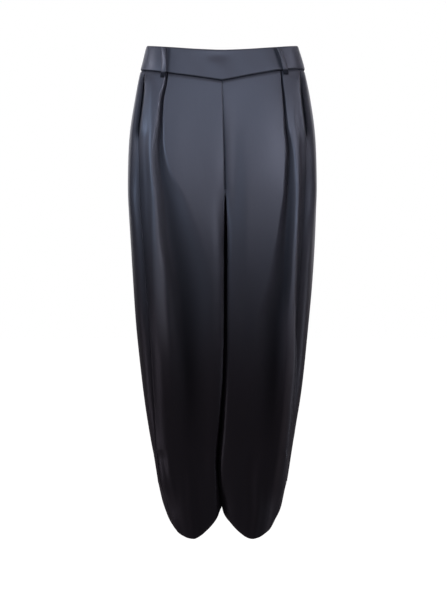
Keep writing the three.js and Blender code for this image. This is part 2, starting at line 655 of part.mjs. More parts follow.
// Slider and pull are drawn about the pull's bar: x across, z up the cloth and y away from it.
const outline = (shape, wall) => {
  const geometry = new THREE.ExtrudeGeometry(shape, { depth: wall, bevelEnabled: false, curveSegments: 8 });
  geometry.translate(0, 0, -wall / 2);
  geometry.rotateX(Math.PI / 2);
  return geometry;
};
function sliderShape() {
  const [top, foot, half] = [SLIDER.topWidth / 2, SLIDER.footWidth / 2, SLIDER.height / 2];
  const shape = new THREE.Shape();
  shape.moveTo(-foot, -half);
  shape.lineTo(foot, -half);
  shape.lineTo(top, half - top / 2);
  shape.quadraticCurveTo(top, half, top / 2, half);
  shape.lineTo(-top / 2, half);
  shape.quadraticCurveTo(-top, half, -top, half - top / 2);
  shape.closePath();
  return outline(shape, SLIDER.wall).translate(0, -(BRIDGE.gap + SLIDER.wall) / 2, 0);
}
function bridgeShape() {
  const arch = new THREE.BoxGeometry(BRIDGE.width, BRIDGE.wall + BRIDGE.gap + 0.4, BRIDGE.inside + 2 * BRIDGE.wall);
  arch.translate(0, (BRIDGE.wall - 0.4) / 2, 0);
  const room = new THREE.BoxGeometry(2 * BRIDGE.width, BRIDGE.gap, BRIDGE.inside);
  return toManifold(arch).subtract(toManifold(room));
}
function pullShape() {
  const [bar, eye] = [PULL.bar / 2, PULL.eyeWidth / 2];
  const [head, foot] = [PULL.headWidth / 2, PULL.footWidth / 2];
  const low = bar - PULL.length + foot;
  const shape = new THREE.Shape();
  shape.moveTo(-head + 0.5, bar);
  shape.lineTo(head - 0.5, bar);
  shape.lineTo(head, bar - 0.5);
  shape.lineTo(head * 0.8, -PULL.eyeLength - 3);
  shape.lineTo(foot, low);
  shape.absarc(0, low, foot, 0, -Math.PI, true);
  shape.lineTo(-head * 0.8, -PULL.eyeLength - 3);
  shape.lineTo(-head, bar - 0.5);
  shape.closePath();
  const hole = new THREE.Path();
  hole.moveTo(-eye, -bar);
  hole.lineTo(-eye, -bar - PULL.eyeLength);
  hole.lineTo(eye, -bar - PULL.eyeLength);
  hole.lineTo(eye, -bar);
  hole.closePath();
  shape.holes.push(hole);
  return outline(shape, PULL.wall);
}
function onCentreBack(geometry) {
  const y = (z) => read(SECTIONS, "back", z);
  const lean = Math.atan(y(SLIDER.middle - 1) - y(SLIDER.middle));
  const away = SEAM_GAP + SLIDER.wall + BRIDGE.gap / 2;
  geometry.rotateX(lean);
  geometry.translate(0, y(SLIDER.middle) + away * Math.cos(lean), SLIDER.middle + away * Math.sin(lean));
  return geometry;
}
addPiece("zip_slider", onCentreBack(fromManifold(toManifold(sliderShape()).add(bridgeShape()))), zipMetal());
addPiece("zip_pull", onCentreBack(fromManifold(toManifold(pullShape()))), zipMetal());

export default garment;
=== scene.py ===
import math

import bmesh
import bpy
import numpy as np
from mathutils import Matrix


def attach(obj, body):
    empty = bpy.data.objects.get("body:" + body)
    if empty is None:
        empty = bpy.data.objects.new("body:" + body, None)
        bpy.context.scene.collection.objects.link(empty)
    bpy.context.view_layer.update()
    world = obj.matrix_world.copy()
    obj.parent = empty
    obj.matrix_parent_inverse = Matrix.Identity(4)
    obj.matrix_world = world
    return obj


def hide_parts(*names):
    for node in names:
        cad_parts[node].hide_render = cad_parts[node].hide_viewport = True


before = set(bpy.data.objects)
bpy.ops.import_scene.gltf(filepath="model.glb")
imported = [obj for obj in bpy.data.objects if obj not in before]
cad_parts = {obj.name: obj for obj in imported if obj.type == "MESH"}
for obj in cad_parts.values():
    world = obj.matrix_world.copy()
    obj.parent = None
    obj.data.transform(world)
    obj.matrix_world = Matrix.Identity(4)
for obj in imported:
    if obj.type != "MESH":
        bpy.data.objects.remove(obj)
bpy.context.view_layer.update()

# Balloon trousers in dark satin, filled out as if worn. Sizes are in millimetres until a piece is made. The
# left half is drawn on +X, and the right half is its mirror image with folds of its own.
MM = 0.001
FAR = 999.0

# ---- Sizes ---------------------------------------------------------------------------------------
PANEL_WALL, BAND_WALL = 0.9, 2.2  # how thick the panels' cloth and the waistband are
BAND_DEPTH = 50
FRONT_DROP, FRONT_POINT = 20, 30  # how far the waistband's top and its seam dip at centre front
FRONT_CROTCH, BACK_CROTCH, CROTCH = -288, -256, -332  # where the legs part in front, behind and between
CORNER = 52  # the inner corner of a leg's section, in degrees from its front
FRONT_POWER, BACK_POWER = 4.4, 2.3  # how square the front and the back of the body's section are
OUTER_POWERS, INNER_POWERS = (4.2, 2.2), (8.0, 5.0)  # the same for a leg's outer and inner halves
INNER_FLAT = 0.3  # how flat a leg's front stays towards the other leg, from 0 for flat to 1 for round
LEGS_PART_OVER = 150  # the height over which the body's section turns into two legs
ROUNDING_FROM, ROUNDING_OVER = -170, 260  # the height over which its depth does
SEAM = 0.001  # half the gap at a seam
WALL_END = -800  # below this the leg is rolled under
SECTION_END = -862.0  # the lowest height at which a leg's section is given
# Ankle bands: top, depth, how far from the centre, half the size across and along, and the ease round them.
CUFF_TOP, CUFF_DEPTH, CUFF_X = -915, 24, 56
CUFF_ACROSS, CUFF_ALONG, CUFF_EASE = 38.6, 39.6, 1.6
GATHERED = -940  # the height at which the ankle's gathers are full

# The whole garment, by height: half its width, and how far its front and back stand from the middle.
WIDTH = [(0, 148), (-50, 161.5), (-110, 174), (-180, 183.5), (-260, 186), (-340, 184.5), (-430, 180),
         (-520, 173.5), (-610, 165), (-700, 154.5), (-780, 143), (-862, 129)]
FRONT = [(0, 98), (-50, 106), (-110, 114), (-180, 121), (-260, 124), (-340, 122), (-430, 117), (-520, 111),
         (-610, 104), (-700, 96), (-780, 88), (-862, 77)]
BACK = [(0, 98), (-50, 110), (-110, 126), (-180, 138), (-260, 142), (-340, 137), (-430, 126), (-520, 113),
        (-610, 101), (-700, 90), (-780, 81), (-862, 72)]
# The waistband: how its top and the point of its seam round off, and where its top and its seam sag, as a
# drop, the share of the way round and its reach. The seam sags further on the wearer's right.
TOP_POWER, POINT_POWER = 1.7, 1.08
TOP_SAG = (2.6, 0.47, 0.035)
SEAM_SAG = (2.6, 0.3, 0.09)
SEAM_SAG_RIGHT = (4.6, 0.2, 0.13)
BAND_DENT = {"x": -10, "z": -32, "depth": 2.4}  # the soft dip in front
# Half the gap between the inner legs.
LEGS_APART = [(-288, 0.2), (-330, 0.6), (-600, 0.7), (-840, 0.8), (-900, 1.0), (-925, 3)]
# The side seam, as seen from the front.
SIDE_SEAM = [(-50, 152.5), (-90, 153), (-126, 157), (-160, 161), (-206, 165), (-306, 161.5), (-406, 155.5),
             (-456, 152), (-506, 148), (-596, 142), (-666, 138.5), (-726, 135.5), (-800, 132.5),
             (-862, 128.5)]

# The front pleat, by height: where its valley lies, how deep it is, how far it reaches towards the centre
# and towards the side, and how round its bottom is, from 0 for a sharp fold to 1.
PLEAT = {
    "left": {
        "valley": [(-52, 113.5), (-64, 115), (-88, 117), (-116, 120.4), (-145, 122.5), (-174, 125),
                   (-213, 129), (-256, 128.5), (-306, 127), (-346, 125), (-386, 123), (-426, 121),
                   (-466, 119), (-506, 112), (-546, 106), (-700, 98), (-862, 88)],
        "depth": [(-52, 2), (-70, 7), (-100, 11), (-160, 12), (-250, 11), (-340, 10.5), (-440, 11),
                  (-540, 10), (-640, 6), (-760, 2), (-862, 0)],
        "inward": [(-52, 3), (-80, 4), (-136, 6), (-160, 7), (-250, 9), (-311, 12), (-389, 22), (-467, 34),
                   (-544, 44), (-862, 40)],
        "outward": [(-52, 2.5), (-100, 3), (-160, 4), (-200, 7), (-250, 14), (-340, 22), (-440, 22),
                    (-540, 26), (-862, 30)],
        "round": [(-52, 0.2), (-160, 0.4), (-250, 0.8), (-340, 1), (-862, 1)],
    },
    "right": {
        "valley": [(-52, 106), (-66, 107.2), (-88, 109.7), (-116, 116), (-145, 118.6), (-174, 120),
                   (-206, 121.5), (-256, 119), (-306, 108), (-346, 101), (-386, 94), (-426, 87), (-466, 81),
                   (-506, 77), (-546, 74), (-700, 63), (-862, 60)],
        "depth": [(-52, 2), (-70, 7), (-100, 11), (-160, 11), (-250, 9), (-340, 9), (-440, 11), (-540, 10),
                  (-640, 5), (-760, 2), (-862, 0)],
        "inward": [(-52, 2.5), (-100, 3.5), (-160, 6), (-215, 10), (-265, 22), (-305, 36), (-385, 52),
                   (-465, 58), (-545, 54), (-862, 36)],
        "outward": [(-52, 3), (-100, 8), (-160, 10), (-215, 14), (-265, 20), (-340, 28), (-440, 32),
                    (-540, 34), (-862, 32)],
        "round": [(-52, 0.2), (-140, 0.4), (-225, 0.8), (-300, 1), (-862, 1)],
    },
}

# A ridge down each front, outside the pleat: place, height, and its reach towards the centre and away.
RIDGES = {
    "left": {
        "place": [(-70, 138), (-150, 141), (-196, 144), (-306, 145.5), (-346, 143.5), (-386, 141.5),
                  (-466, 138.5), (-546, 137), (-626, 136), (-706, 133), (-746, 132), (-786, 126),
                  (-826, 120), (-866, 113), (-905, 110)],
        "height": [(-70, 0), (-130, 1), (-196, 3), (-306, 5.5), (-389, 7.5), (-544, 8), (-640, 7),
                   (-760, 4), (-905, 3)],
        "inward": [(-70, 14), (-196, 18), (-306, 20), (-466, 22), (-626, 20), (-905, 14)],
        "outward": [(-70, 12), (-196, 10), (-306, 9), (-466, 8), (-626, 10), (-905, 12)],
    },
    "right": {
        "place": [(-70, 138), (-150, 138), (-226, 137), (-306, 129), (-386, 126), (-426, 121),
                  (-466, 115.5), (-506, 113), (-546, 110), (-626, 103), (-700, 98), (-760, 94)],
        "height": [(-70, 0), (-150, 1.5), (-226, 3.5), (-306, 5), (-386, 6.5), (-466, 7.5), (-546, 7),
                   (-626, 4), (-760, 0)],
        "inward": [(-70, 14), (-226, 14), (-306, 18), (-386, 20), (-546, 24), (-760, 28)],
        "outward": [(-70, 14), (-226, 14), (-306, 20), (-386, 22), (-466, 30), (-546, 36), (-760, 36)],
    },
}

# Painted highlight along a crest, where satin would catch the light: place, brightness, and reach towards the
# centre and away.
PAINTED_GLEAMS = {
    "left": {
        "place": [(-230, 148), (-311, 145), (-389, 141.5), (-467, 138.5), (-544, 136.5), (-622, 133),
                  (-700, 127), (-777, 119), (-850, 108)],
        "strength": [(-230, 0), (-311, 0.2), (-389, 0.45), (-467, 0.7), (-544, 0.85), (-622, 0.6),
                     (-700, 0.4), (-777, 0.35), (-850, 0)],
        "inward": [(-230, 8), (-389, 11), (-467, 11), (-544, 14), (-622, 12), (-850, 14)],
        "outward": [(-230, 6), (-389, 7), (-467, 7), (-544, 10), (-622, 14), (-850, 14)],
    },
    "right": {
        "place": [(-230, 136), (-311, 130), (-389, 124), (-467, 119), (-544, 112), (-622, 108), (-700, 106)],
        "strength": [(-230, 0), (-311, 0.05), (-389, 0.2), (-467, 0.42), (-544, 0.5), (-622, 0.12),
                     (-700, 0)],
        "inward": [(-230, 14), (-389, 17), (-467, 14), (-544, 9), (-700, 14)],
        "outward": [(-230, 14), (-389, 20), (-467, 24), (-544, 28), (-700, 20)],
    },
}

# Soft folds elsewhere. "reads" is the coordinate that a fold is measured along, "line" its place at its top,
# middle and foot, and "reach" its width towards the centre and away from it. A negative depth stands proud.
FOLD_COLUMNS = ("half", "face", "reads", "ends", "line", "reach", "depth")
FOLDS = [dict(zip(FOLD_COLUMNS, row)) for row in [
    ("left", "front", "x", (-120, -560), (13, 18, 16), (15, 30), 1.8),
    ("left", "front", "x", (-640, -905), (142, 139, 132), (16, 16), 2.6),
    ("left", "front", "x", (-690, -940), (64, 58, 50), (24, 24), 2.2),
    ("left", "front", "x", (-420, -800), (40, 34, 30), (26, 26), 1.6),
    ("right", "front", "x", (-300, -760), (8, 8, 10), (30, 50), -3),
    ("right", "front", "x", (-780, -965), (118, 106, 84), (11, 11), 2.6),
    ("right", "front", "x", (-520, -900), (136, 128, 120), (18, 18), 3.0),
    ("right", "front", "x", (-560, -900), (34, 30, 34), (24, 24), 2.0),
    ("left", "back", "x", (-215, -840), (62, 78, 58), (26, 26), 7),
    ("left", "back", "x", (-300, -760), (118, 112, 92), (24, 24), 6),
    ("left", "back", "y", (-130, -700), (34, 46, 30), (24, 24), 6),
    ("right", "back", "x", (-235, -800), (70, 66, 64), (28, 28), 7),
    ("right", "back", "x", (-270, -800), (126, 118, 88), (22, 22), 6),
    ("right", "back", "y", (-160, -760), (40, 36, 26), (26, 26), 6),
]]
# How far the slit between the legs opens in front.
PARTED = [(-286, 0), (-304, 1.8), (-400, 2.3), (-700, 2.4), (-800, 3.0), (-860, 2.6), (-900, 0), (-930, -3)]
# How far the slit, and the seam above it, wander to the wearer's left on the front, and lean further in.
WANDER = [(-84, 0), (-200, 3.5), (-300, 5.6), (-560, 5), (-700, 1), (-760, -3), (-822, -7), (-866, -4),
          (-912, 2), (-930, 2.5)]
LEAN, LEAN_DEPTH = 3.4, 84

# The turned-under end of a leg: how far its two sides stand from the centre, half its size from front to
# back, its height above the lowest line of the roll, and how square it is towards the other leg.
ROLL = [(127, 0.8, 71, 60, 6), (119, 1.4, 64.5, 27, 4.5), (111.5, 5.5, 58.5, 8, 3), (104, 11, 52, 0, 2.3),
        (98.5, 14.5, 46.5, 8, 2)]
ROLL_SIDE, ROLL_FRONT, ROLL_BACK = -928, -976, -970
ROLL_FULL = (0.75, 1.1)  # how fast the lobe falls to its lowest line, on the inner and the outer half
ROLL_LIFT, ROLL_EVEN = 17, 0.2  # how far it is lifted towards the other leg, and how much flatter it is there

# Pocket in the side seam: its height, how fast it opens and closes, how far its front lip stands out, how
# far the cloth behind it lies in, and how far both slide apart. Each has its reach from the seam.
POCKET_TOP, POCKET_BOTTOM, POCKET_EASE = -54, -206, 22
LIP_OUT, LIP_REACH = 4.0, 20
LIP_STARTS_OVER, LIP_END, LIP_ENDS_OVER = 30, -330, 170
LIP_EDGE_IN, LIP_EDGE_REACH = 1.6, 1.5
BEHIND_IN, BEHIND_REACH = 4.0, 12
POCKET_SLIDE, SLIDE_REACH = 6.0, {"front": 28, "back": 26}

# Seams: how far an edge turns in and its reach, how deep the valley is along the side seam, how far from the
# centre and the side seams the cloth starts to wave, and how near the sewn edge it is loose.
TURN_IN, TURN_REACH = 1.5, 1.5
SIDE_TURN_IN, SIDE_TURN_REACH = 1.3, 1.6
WAIST_TURN_IN, WAIST_TURN_REACH, WAIST_TURN_BACK = 4.4, 3.0, 0.4
SIDE_VALLEY = [(-60, 1.2), (-216, 4.6), (-330, 5.5), (-480, 4.5), (-620, 2.4), (-800, 0.8)]
SIDE_VALLEY_REACH = {"front": 12, "back": 14}
CENTRE_CALM, SIDE_CALM, SEWN_REACH = 25, 20, 18
# The rows of a panel follow the waist seam at its top, and lie level from the first height down.
LEVEL_BELOW, LEVEL_OVER = -180, 130

# Painted shade at the centre seam, by height: its reach and its strength, and the softer painted shade at its
# left.
SEAM_SHADE_REACH = [(-80, 1.5), (-140, 1.6), (-200, 1.8), (-290, 2.2), (-420, 3.6), (-900, 6)]
SEAM_SHADE = [(-80, 0.4), (-150, 0.7), (-220, 0.85)]
SLIT_SHADE = [(-110, 0), (-150, 0.3), (-190, 0.62), (-290, 0.6), (-560, 0.4), (-800, 0)]
SIDE_SHADE_REACH = {"front": 14, "back": 9}

# Belt loops: how far from the centre at the top and at the foot, on the front or the back, their lean, and
# how far towards the centre the painted shadow on the band beside them lies.
LOOPS = {
    "belt_loop_front_left": {"side": 1, "back": False, "top": 104, "foot": 121, "twist": -0.7, "shade": 6.5},
    "belt_loop_front_right": {"side": -1, "back": False, "top": 110, "foot": 112.5, "twist": -0.9, "shade": 7},
    "belt_loop_back_left": {"side": 1, "back": True, "top": 78, "foot": 84, "twist": -0.1, "shade": 5},
    "belt_loop_back_right": {"side": -1, "back": True, "top": 78, "foot": 84, "twist": 0.15, "shade": 5},
}
LOOP_WIDTH, LOOP_COLUMNS, STRAP_ROWS = 9.9, 9, 70
LOOP_SLANT = 0.75  # how early on its way down a loop moves from its top to its foot
# Down a strap: how far it stands out, and its height as a share of the band, then below the waist seam in mm.
STRAP = [(0.4, 0.0, 0), (2.6, 0.02, 0), (4.0, 0.14, 0), (4.6, 0.4, 0), (4.4, 0.7, 0), (4.0, 0.92, 0),
         (4.4, 1, 3.5), (4.4, 1, 7.6), (2.9, 1, 10.6), (1.2, 1, 10), (0.7, 1, 6), (0.6, 1, 2)]


# ---- Small tools ---------------------------------------------------------------------------------
def mix(a, b, t):
    return a + (b - a) * t


def smooth(v):
    v = np.clip(v, 0, 1)
    return v * v * (3 - 2 * v)


def curve(rows, z):
    """A smooth curve through (height, value) rows that go from high to low."""
    heights = np.array([r[0] for r in rows], float)
    values = np.array([r[1] for r in rows], float)
    slopes = np.gradient(values, heights)
    slopes[1:-1] = (values[2:] - values[:-2]) / (heights[2:] - heights[:-2])
    z = np.clip(z, heights[-1], heights[0])
    i = np.clip(np.searchsorted(-heights, -z, side="right") - 1, 0, len(rows) - 2)
    h = heights[i + 1] - heights[i]
    t = (z - heights[i]) / h
    return ((2 * t**3 - 3 * t**2 + 1) * values[i] + (t**3 - 2 * t**2 + t) * h * slopes[i]
            + (3 * t**2 - 2 * t**3) * values[i + 1] + (t**3 - t**2) * h * slopes[i + 1])


def bulge(angle, power):
    """How far a superellipse stands outside the ellipse, at an angle."""
    return (np.abs(np.sin(angle)) ** power + np.abs(np.cos(angle)) ** power) ** (-1 / power)


def crease(distance, inward, outward_reach):
    t = np.where(distance < 0, -distance / inward, distance / outward_reach)
    return np.where(t < 1, np.cos(np.pi * np.minimum(t, 1) / 2) ** 2, 0)


def near(distance, reach):
    """1 at no distance, and fading to nothing a little past the reach."""
    return np.exp(-(distance / reach) ** 2)


def sag(share, row):
    by, place, reach = row
    return by * near(share - place, reach)


def spline_at(stations, q):
    """The point q steps past the second station, on a smooth line through all of them."""
    i = min(int(q), len(stations) - 4)
    t = q - i
    p0, p1, p2, p3 = stations[i:i + 4]
    bend = 2 * p0 - 5 * p1 + 4 * p2 - p3
    return 0.5 * (2 * p1 + (p2 - p0) * t + bend * t**2 + (3 * p1 - p0 - 3 * p2 + p3) * t**3)


def side_of(half):
    return 1 if half == "left" else -1


# ---- Form of the garment -------------------------------------------------------------------------
# "turn" goes round a leg in degrees: 0 at its front, 90 at the outside and 180 at its back. The inner wall
# runs from -CORNER to -90 and from 180 + CORNER to 270. "share" goes from 0 at centre front to 1 at the back.
def turn_of(share):
    return -CORNER + share * (180 + 2 * CORNER)


def body_section(share, z):
    angle = np.pi * share
    depth = np.where(np.cos(angle) > 0, curve(FRONT, z), curve(BACK, z))
    out = bulge(angle, np.where(np.cos(angle) > 0, FRONT_POWER, BACK_POWER))
    return curve(WIDTH, z) * np.sin(angle) * out, -depth * np.cos(angle) * out


def depth_share(turn, out):
    """How far towards its front or back a leg's section stands, from 0 at its sides to 1. The front stays
    flat towards the other leg, and its inner wall closes back from there."""
    raw = np.abs(np.cos(np.radians(turn))) * out
    corner = math.cos(math.radians(CORNER)) * bulge(math.radians(CORNER), INNER_POWERS[0])
    inner_front = (turn < 0) & (turn >= -CORNER)
    in_front_wall = turn < -CORNER
    in_wall = raw * corner ** (INNER_FLAT - 1)
    return np.where(inner_front, raw ** INNER_FLAT, np.where(in_front_wall, in_wall, raw))


def leg_section(turn, z):
    turn = np.asarray(turn, float)
    angle = np.radians(turn)
    inner = curve(LEGS_APART, z)
    width = curve(WIDTH, z)
    front = np.cos(angle) > 0
    inner_power, outer_power = np.where(front, *INNER_POWERS), np.where(front, *OUTER_POWERS)
    out = bulge(angle, np.where(np.sin(angle) < 0, inner_power, outer_power))
    depth = np.where(front, -curve(FRONT, z), curve(BACK, z))
    return (inner + width) / 2 + (width - inner) / 2 * np.sin(angle) * out, depth * depth_share(turn, out)


def section(turn, z):
    turn, z = np.broadcast_arrays(np.asarray(turn, float), np.asarray(z, float))
    share = np.clip((turn + CORNER) / (180 + 2 * CORNER), 0, 1)
    body_x, body_y = body_section(share, z)
    leg_x, leg_y = leg_section(turn, z)
    apart = smooth((FRONT_CROTCH - z) / LEGS_PART_OVER)
    rounding = smooth((ROUNDING_FROM - z) / ROUNDING_OVER)
    corner = np.where(turn < 0, -CORNER, 180 + CORNER)
    corner_y = leg_section(corner, z)[1]
    x = np.maximum(SEAM, mix(body_x, leg_x, apart))
    y = mix(body_y, leg_y, rounding)
    in_wall = (turn < -CORNER) | (turn > 180 + CORNER)
    wall_y = mix(body_y, corner_y, rounding) * leg_y / corner_y
    return np.where(in_wall, mix(SEAM, leg_x, apart), x), np.where(in_wall, wall_y, y)


def outward(turn, z, step=0.4, clear=0.01):
    """The way out of the cloth, level with it. Neither step crosses the inner corner of the leg."""
    turn, z = np.broadcast_arrays(np.asarray(turn, float), np.asarray(z, float))
    in_wall = (turn < -CORNER) | (turn > 180 + CORNER)
    low = np.where(in_wall & (turn > 90), 180 + CORNER + clear, np.where(in_wall, -FAR, -CORNER))
    high = np.where(in_wall & (turn < 90), -CORNER - clear, np.where(in_wall, FAR, 180 + CORNER))
    x1, y1 = section(np.minimum(turn + step, high), z)
    x0, y0 = section(np.maximum(turn - step, low), z)
    length = np.hypot(x1 - x0, y1 - y0) + 1e-9
    return (y1 - y0) / length, -(x1 - x0) / length


def share_at(x, z, back=False, halvings=26):
    """The share of the way round, on the front or the back, at which the cloth stands x from the centre."""
    low, high = np.full_like(z, 1.0 if back else 0.0), np.full_like(z, 0.5)
    for _ in range(halvings):
        middle = (low + high) / 2
        less = section(turn_of(middle), z)[0] < x
        low, high = np.where(less, middle, low), np.where(less, high, middle)
    return low


def band_top(share):
    return -FRONT_DROP * np.maximum(0, np.cos(np.pi * share)) ** TOP_POWER - sag(share, TOP_SAG)


def waist_seam(share, side):
    across = np.sin(np.pi * share) * bulge(np.pi * share, FRONT_POWER)
    point = FRONT_POINT * np.maximum(0, 1 - across) ** POINT_POWER
    sags = sag(share, SEAM_SAG) + np.where(side < 0, sag(share, SEAM_SAG_RIGHT), 0)
    return -BAND_DEPTH - np.where(share < 0.5, point + sags, 0)


def pleat_depth(half, x, z):
    at = {k: curve(v, z) for k, v in PLEAT[half].items()}
    d = x - at["valley"]
    t = np.clip(np.where(d < 0, -d / at["inward"], d / at["outward"]), 0, 1)
    sharp = (1 - t) ** 2
    soft = np.cos(np.pi * t / 2) ** 2
    return at["depth"] * mix(sharp, soft, at["round"])


def folds_out(half, turn, x, y, z, ease=0.3):
    """How far the cloth stands out at its pleat, its ridge and its soft folds."""
    out = np.zeros_like(z)
    on_front = (turn < 90) & (turn > -CORNER)
    out -= np.where(on_front, pleat_depth(half, x, z), 0)
    ridge = {k: curve(v, z) for k, v in RIDGES[half].items()}
    proud = ridge["height"] * crease(x - ridge["place"], ridge["inward"], ridge["outward"])
    out += np.where(on_front, proud, 0)
    for f in (fold for fold in FOLDS if fold["half"] == half):
        high, low = f["ends"]
        t = np.clip((high - z) / (high - low), 0, 1)
        a, b, c = f["line"]
        line = a * (1 - t) * (1 - 2 * t) + b * 4 * t * (1 - t) + c * t * (2 * t - 1)
        here = x if f["reads"] == "x" else y
        strength = smooth(t / ease) * smooth((1 - t) / ease)
        if f["face"] == "front":
            side = (turn < 90) & (turn > -CORNER)
        else:
            side = (turn >= 90) & (turn < (150 if f["reads"] == "y" else 180 + CORNER))
        out -= np.where(side, f["depth"] * strength * crease(here - line, *f["reach"]), 0)
    return out


def gathers(half, turn, z):
    """The small folds that the elastic draws up round the ankle."""
    a = np.radians(turn)
    shift = 0.0 if half == "left" else 1.3
    wide = np.sin(9 * a + shift + 0.9 * np.sin(2 * a + 0.4)) + 0.5 * np.sin(5 * a + 0.7 + shift)
    wave = wide + 0.6 * np.sin(17 * a + 2.1 * shift + 1.2 * np.sin(3 * a))
    return wave * (0.5 * smooth((-800 - z) / 90) + 0.9 * smooth((-905 - z) / 60))


def drape(half, turn, z):
    """Slow waves that keep the cloth from lying perfectly even."""
    a = np.radians(turn)
    s = 0.0 if half == "left" else 2.2
    high = smooth((-60 - z) / 60)
    slow = 0.7 * np.sin(3.1 * a + z / 95 + s) * np.sin(z / 140 + s) + 0.45 * np.sin(6.3 * a - z / 70 + 2 * s)
    return high * (slow + 0.3 * np.sin(z / 33 + 2.4 * a + s) * smooth((-420 - z) / 200))


# ---- Meshes --------------------------------------------------------------------------------------
def make_sheet(name, points, flat_map, wall, mirrored=False, closed=False, outside=1, painted_shade_and_highlight=None):
    """A cloth piece from a grid of points: rows run down, columns run round. "wall" goes in from its face,
    and the last argument holds painted shade for creases and seams, up to 1, and below 0 a painted highlight."""
    rows, columns = points.shape[:2]
    co = points.reshape(-1, 3).copy() * MM
    if mirrored:
        co[:, 0] *= -1
    index = np.arange(rows * columns).reshape(rows, columns)
    right = np.roll(index, -1, axis=1) if closed else index[:, 1:]
    left = index if closed else index[:, :-1]
    quads = np.stack([left[:-1], left[1:], right[1:], right[:-1]], axis=-1).reshape(-1, 4)
    if mirrored != (outside < 0):
        quads = quads[:, ::-1]
    mesh = bpy.data.meshes.new(name)
    mesh.from_pydata(co.tolist(), [], quads.tolist())
    layer = mesh.uv_layers.new(name="cloth")
    flat_uv = flat_map.reshape(-1, 2) * MM
    if closed:
        span = flat_uv[:, 0].max() * columns / (columns - 1)
    corners = np.array([v for p in mesh.polygons for v in p.vertices])
    uv = flat_uv[corners]
    if closed:
        ring = uv[:, 0].reshape(-1, 4)
        wrap = ring.max(axis=1) - ring.min(axis=1) > span / 2
        ring[wrap] = np.where(ring[wrap] < span / 2, ring[wrap] + span, ring[wrap])
        uv[:, 0] = ring.reshape(-1)
    layer.data.foreach_set("uv", uv.astype(np.float32).ravel())
    # This attribute carries painted shade and painted highlight into the satin's colour.
    shade = mesh.attributes.new("painted_shade_and_highlight", "FLOAT", "POINT")
    values = np.zeros(len(co)) if painted_shade_and_highlight is None else np.clip(painted_shade_and_highlight, -1, 1).reshape(-1)
    shade.data.foreach_set("value", values.astype(np.float32))
    join_doubles(mesh)
    piece = bpy.data.objects.new(name, mesh)
    bpy.context.scene.collection.objects.link(piece)
    solidify(piece, wall)
    for p in piece.data.polygons:
        p.use_smooth = True
    return piece


def join_doubles(mesh):
    bm = bmesh.new()
    bm.from_mesh(mesh)
    bmesh.ops.remove_doubles(bm, verts=bm.verts, dist=0.02 * MM)
    bmesh.ops.dissolve_degenerate(bm, edges=bm.edges, dist=0.01 * MM)
    bm.to_mesh(mesh)
    bm.free()


def apply_modifiers(piece):
    bpy.ops.object.select_all(action="DESELECT")
    bpy.context.view_layer.objects.active = piece
    piece.select_set(True)
    for m in list(piece.modifiers):
        bpy.ops.object.modifier_apply(modifier=m.name)
    piece.select_set(False)


def solidify(piece, wall):
    m = piece.modifiers.new("wall", "SOLIDIFY")
    m.thickness = wall * MM
    m.offset = -1
    m.use_even_offset = False
    apply_modifiers(piece)


def lengths(points, axis):
    """How far each point is along its row (axis 1) or column (axis 0)."""
    step = np.linalg.norm(np.diff(points, axis=axis), axis=-1)
    start = np.zeros_like(np.take(step, [0], axis=axis))
    return np.concatenate([start, np.cumsum(step, axis=axis)], axis=axis)


def flat_grid(points):
    """Where each point lies when the piece is laid flat, in millimetres."""
    return np.stack([lengths(points, 1), lengths(points, 0)], axis=-1)


def declare(piece, node):
    """Attaches a cloth piece to the garment and hides the model's part that it stands for."""
    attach(piece, "garment")
    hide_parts(node)


# ---- Leg panels ----------------------------------------------------------------------------------
OUTER_COLUMNS, WALL_COLUMNS, ROLL_ROWS = 128, 26, 46
WALL_CROWDING = 1.15  # how closely the inner wall's columns crowd towards the corner
TOP_ROWS = (-5, -2.5, -0.6, 0, 0.5, 1.1, 1.9, 3, 4.6, 6.6, 9)  # how far below the waist seam they lie
PANEL_HEIGHTS = np.concatenate([
    -BAND_DEPTH - np.array(TOP_ROWS),
    np.linspace(-62, FRONT_CROTCH + 40, 62),
    np.linspace(FRONT_CROTCH + 37, CROTCH, 34),
    np.linspace(CROTCH - 3, WALL_END, 130),
])


def crotch_share(z, start):
    t = np.clip((start - z) / (start - CROTCH), 0, 1)
    return np.where(z >= start, 0, np.where(z <= CROTCH, 1, 1 - np.sqrt(1 - t**2)))


def dense_shares(z, face, half):
    """Shares across a panel from its centre seam to its side seam, closer together at seams and the pleat."""
    side = share_at(curve(SIDE_SEAM, z), z)
    centre = 0.0 if face == "front" else 1.0
    fine = np.linspace(0, 1, 1200)[None, :]
    weight = 1 + 7 * (near(fine, 0.012) + near(1 - fine, 0.012)) + 1.2 * near(1 - fine, 0.1)
    weight = np.repeat(weight, len(z), axis=0)
    if face == "front":
        valley = share_at(curve(PLEAT[half]["valley"], z), z) / side
        tight = (1 - curve(PLEAT[half]["round"], z))[:, None]
        weight += (1.5 + 5 * tight) * near(fine - valley[:, None], 0.03)
    total = np.cumsum(weight, axis=1)
    total = (total - total[:, :1]) / (total[:, -1:] - total[:, :1])
    even = np.linspace(0, 1, OUTER_COLUMNS)
    steps = np.stack([np.interp(even, row, fine[0]) for row in total])
    return mix(centre, side[:, None], steps)


def pocket_open(z):
    return smooth((POCKET_TOP - z) / POCKET_EASE) * smooth((z - POCKET_BOTTOM) / (1.6 * POCKET_EASE))


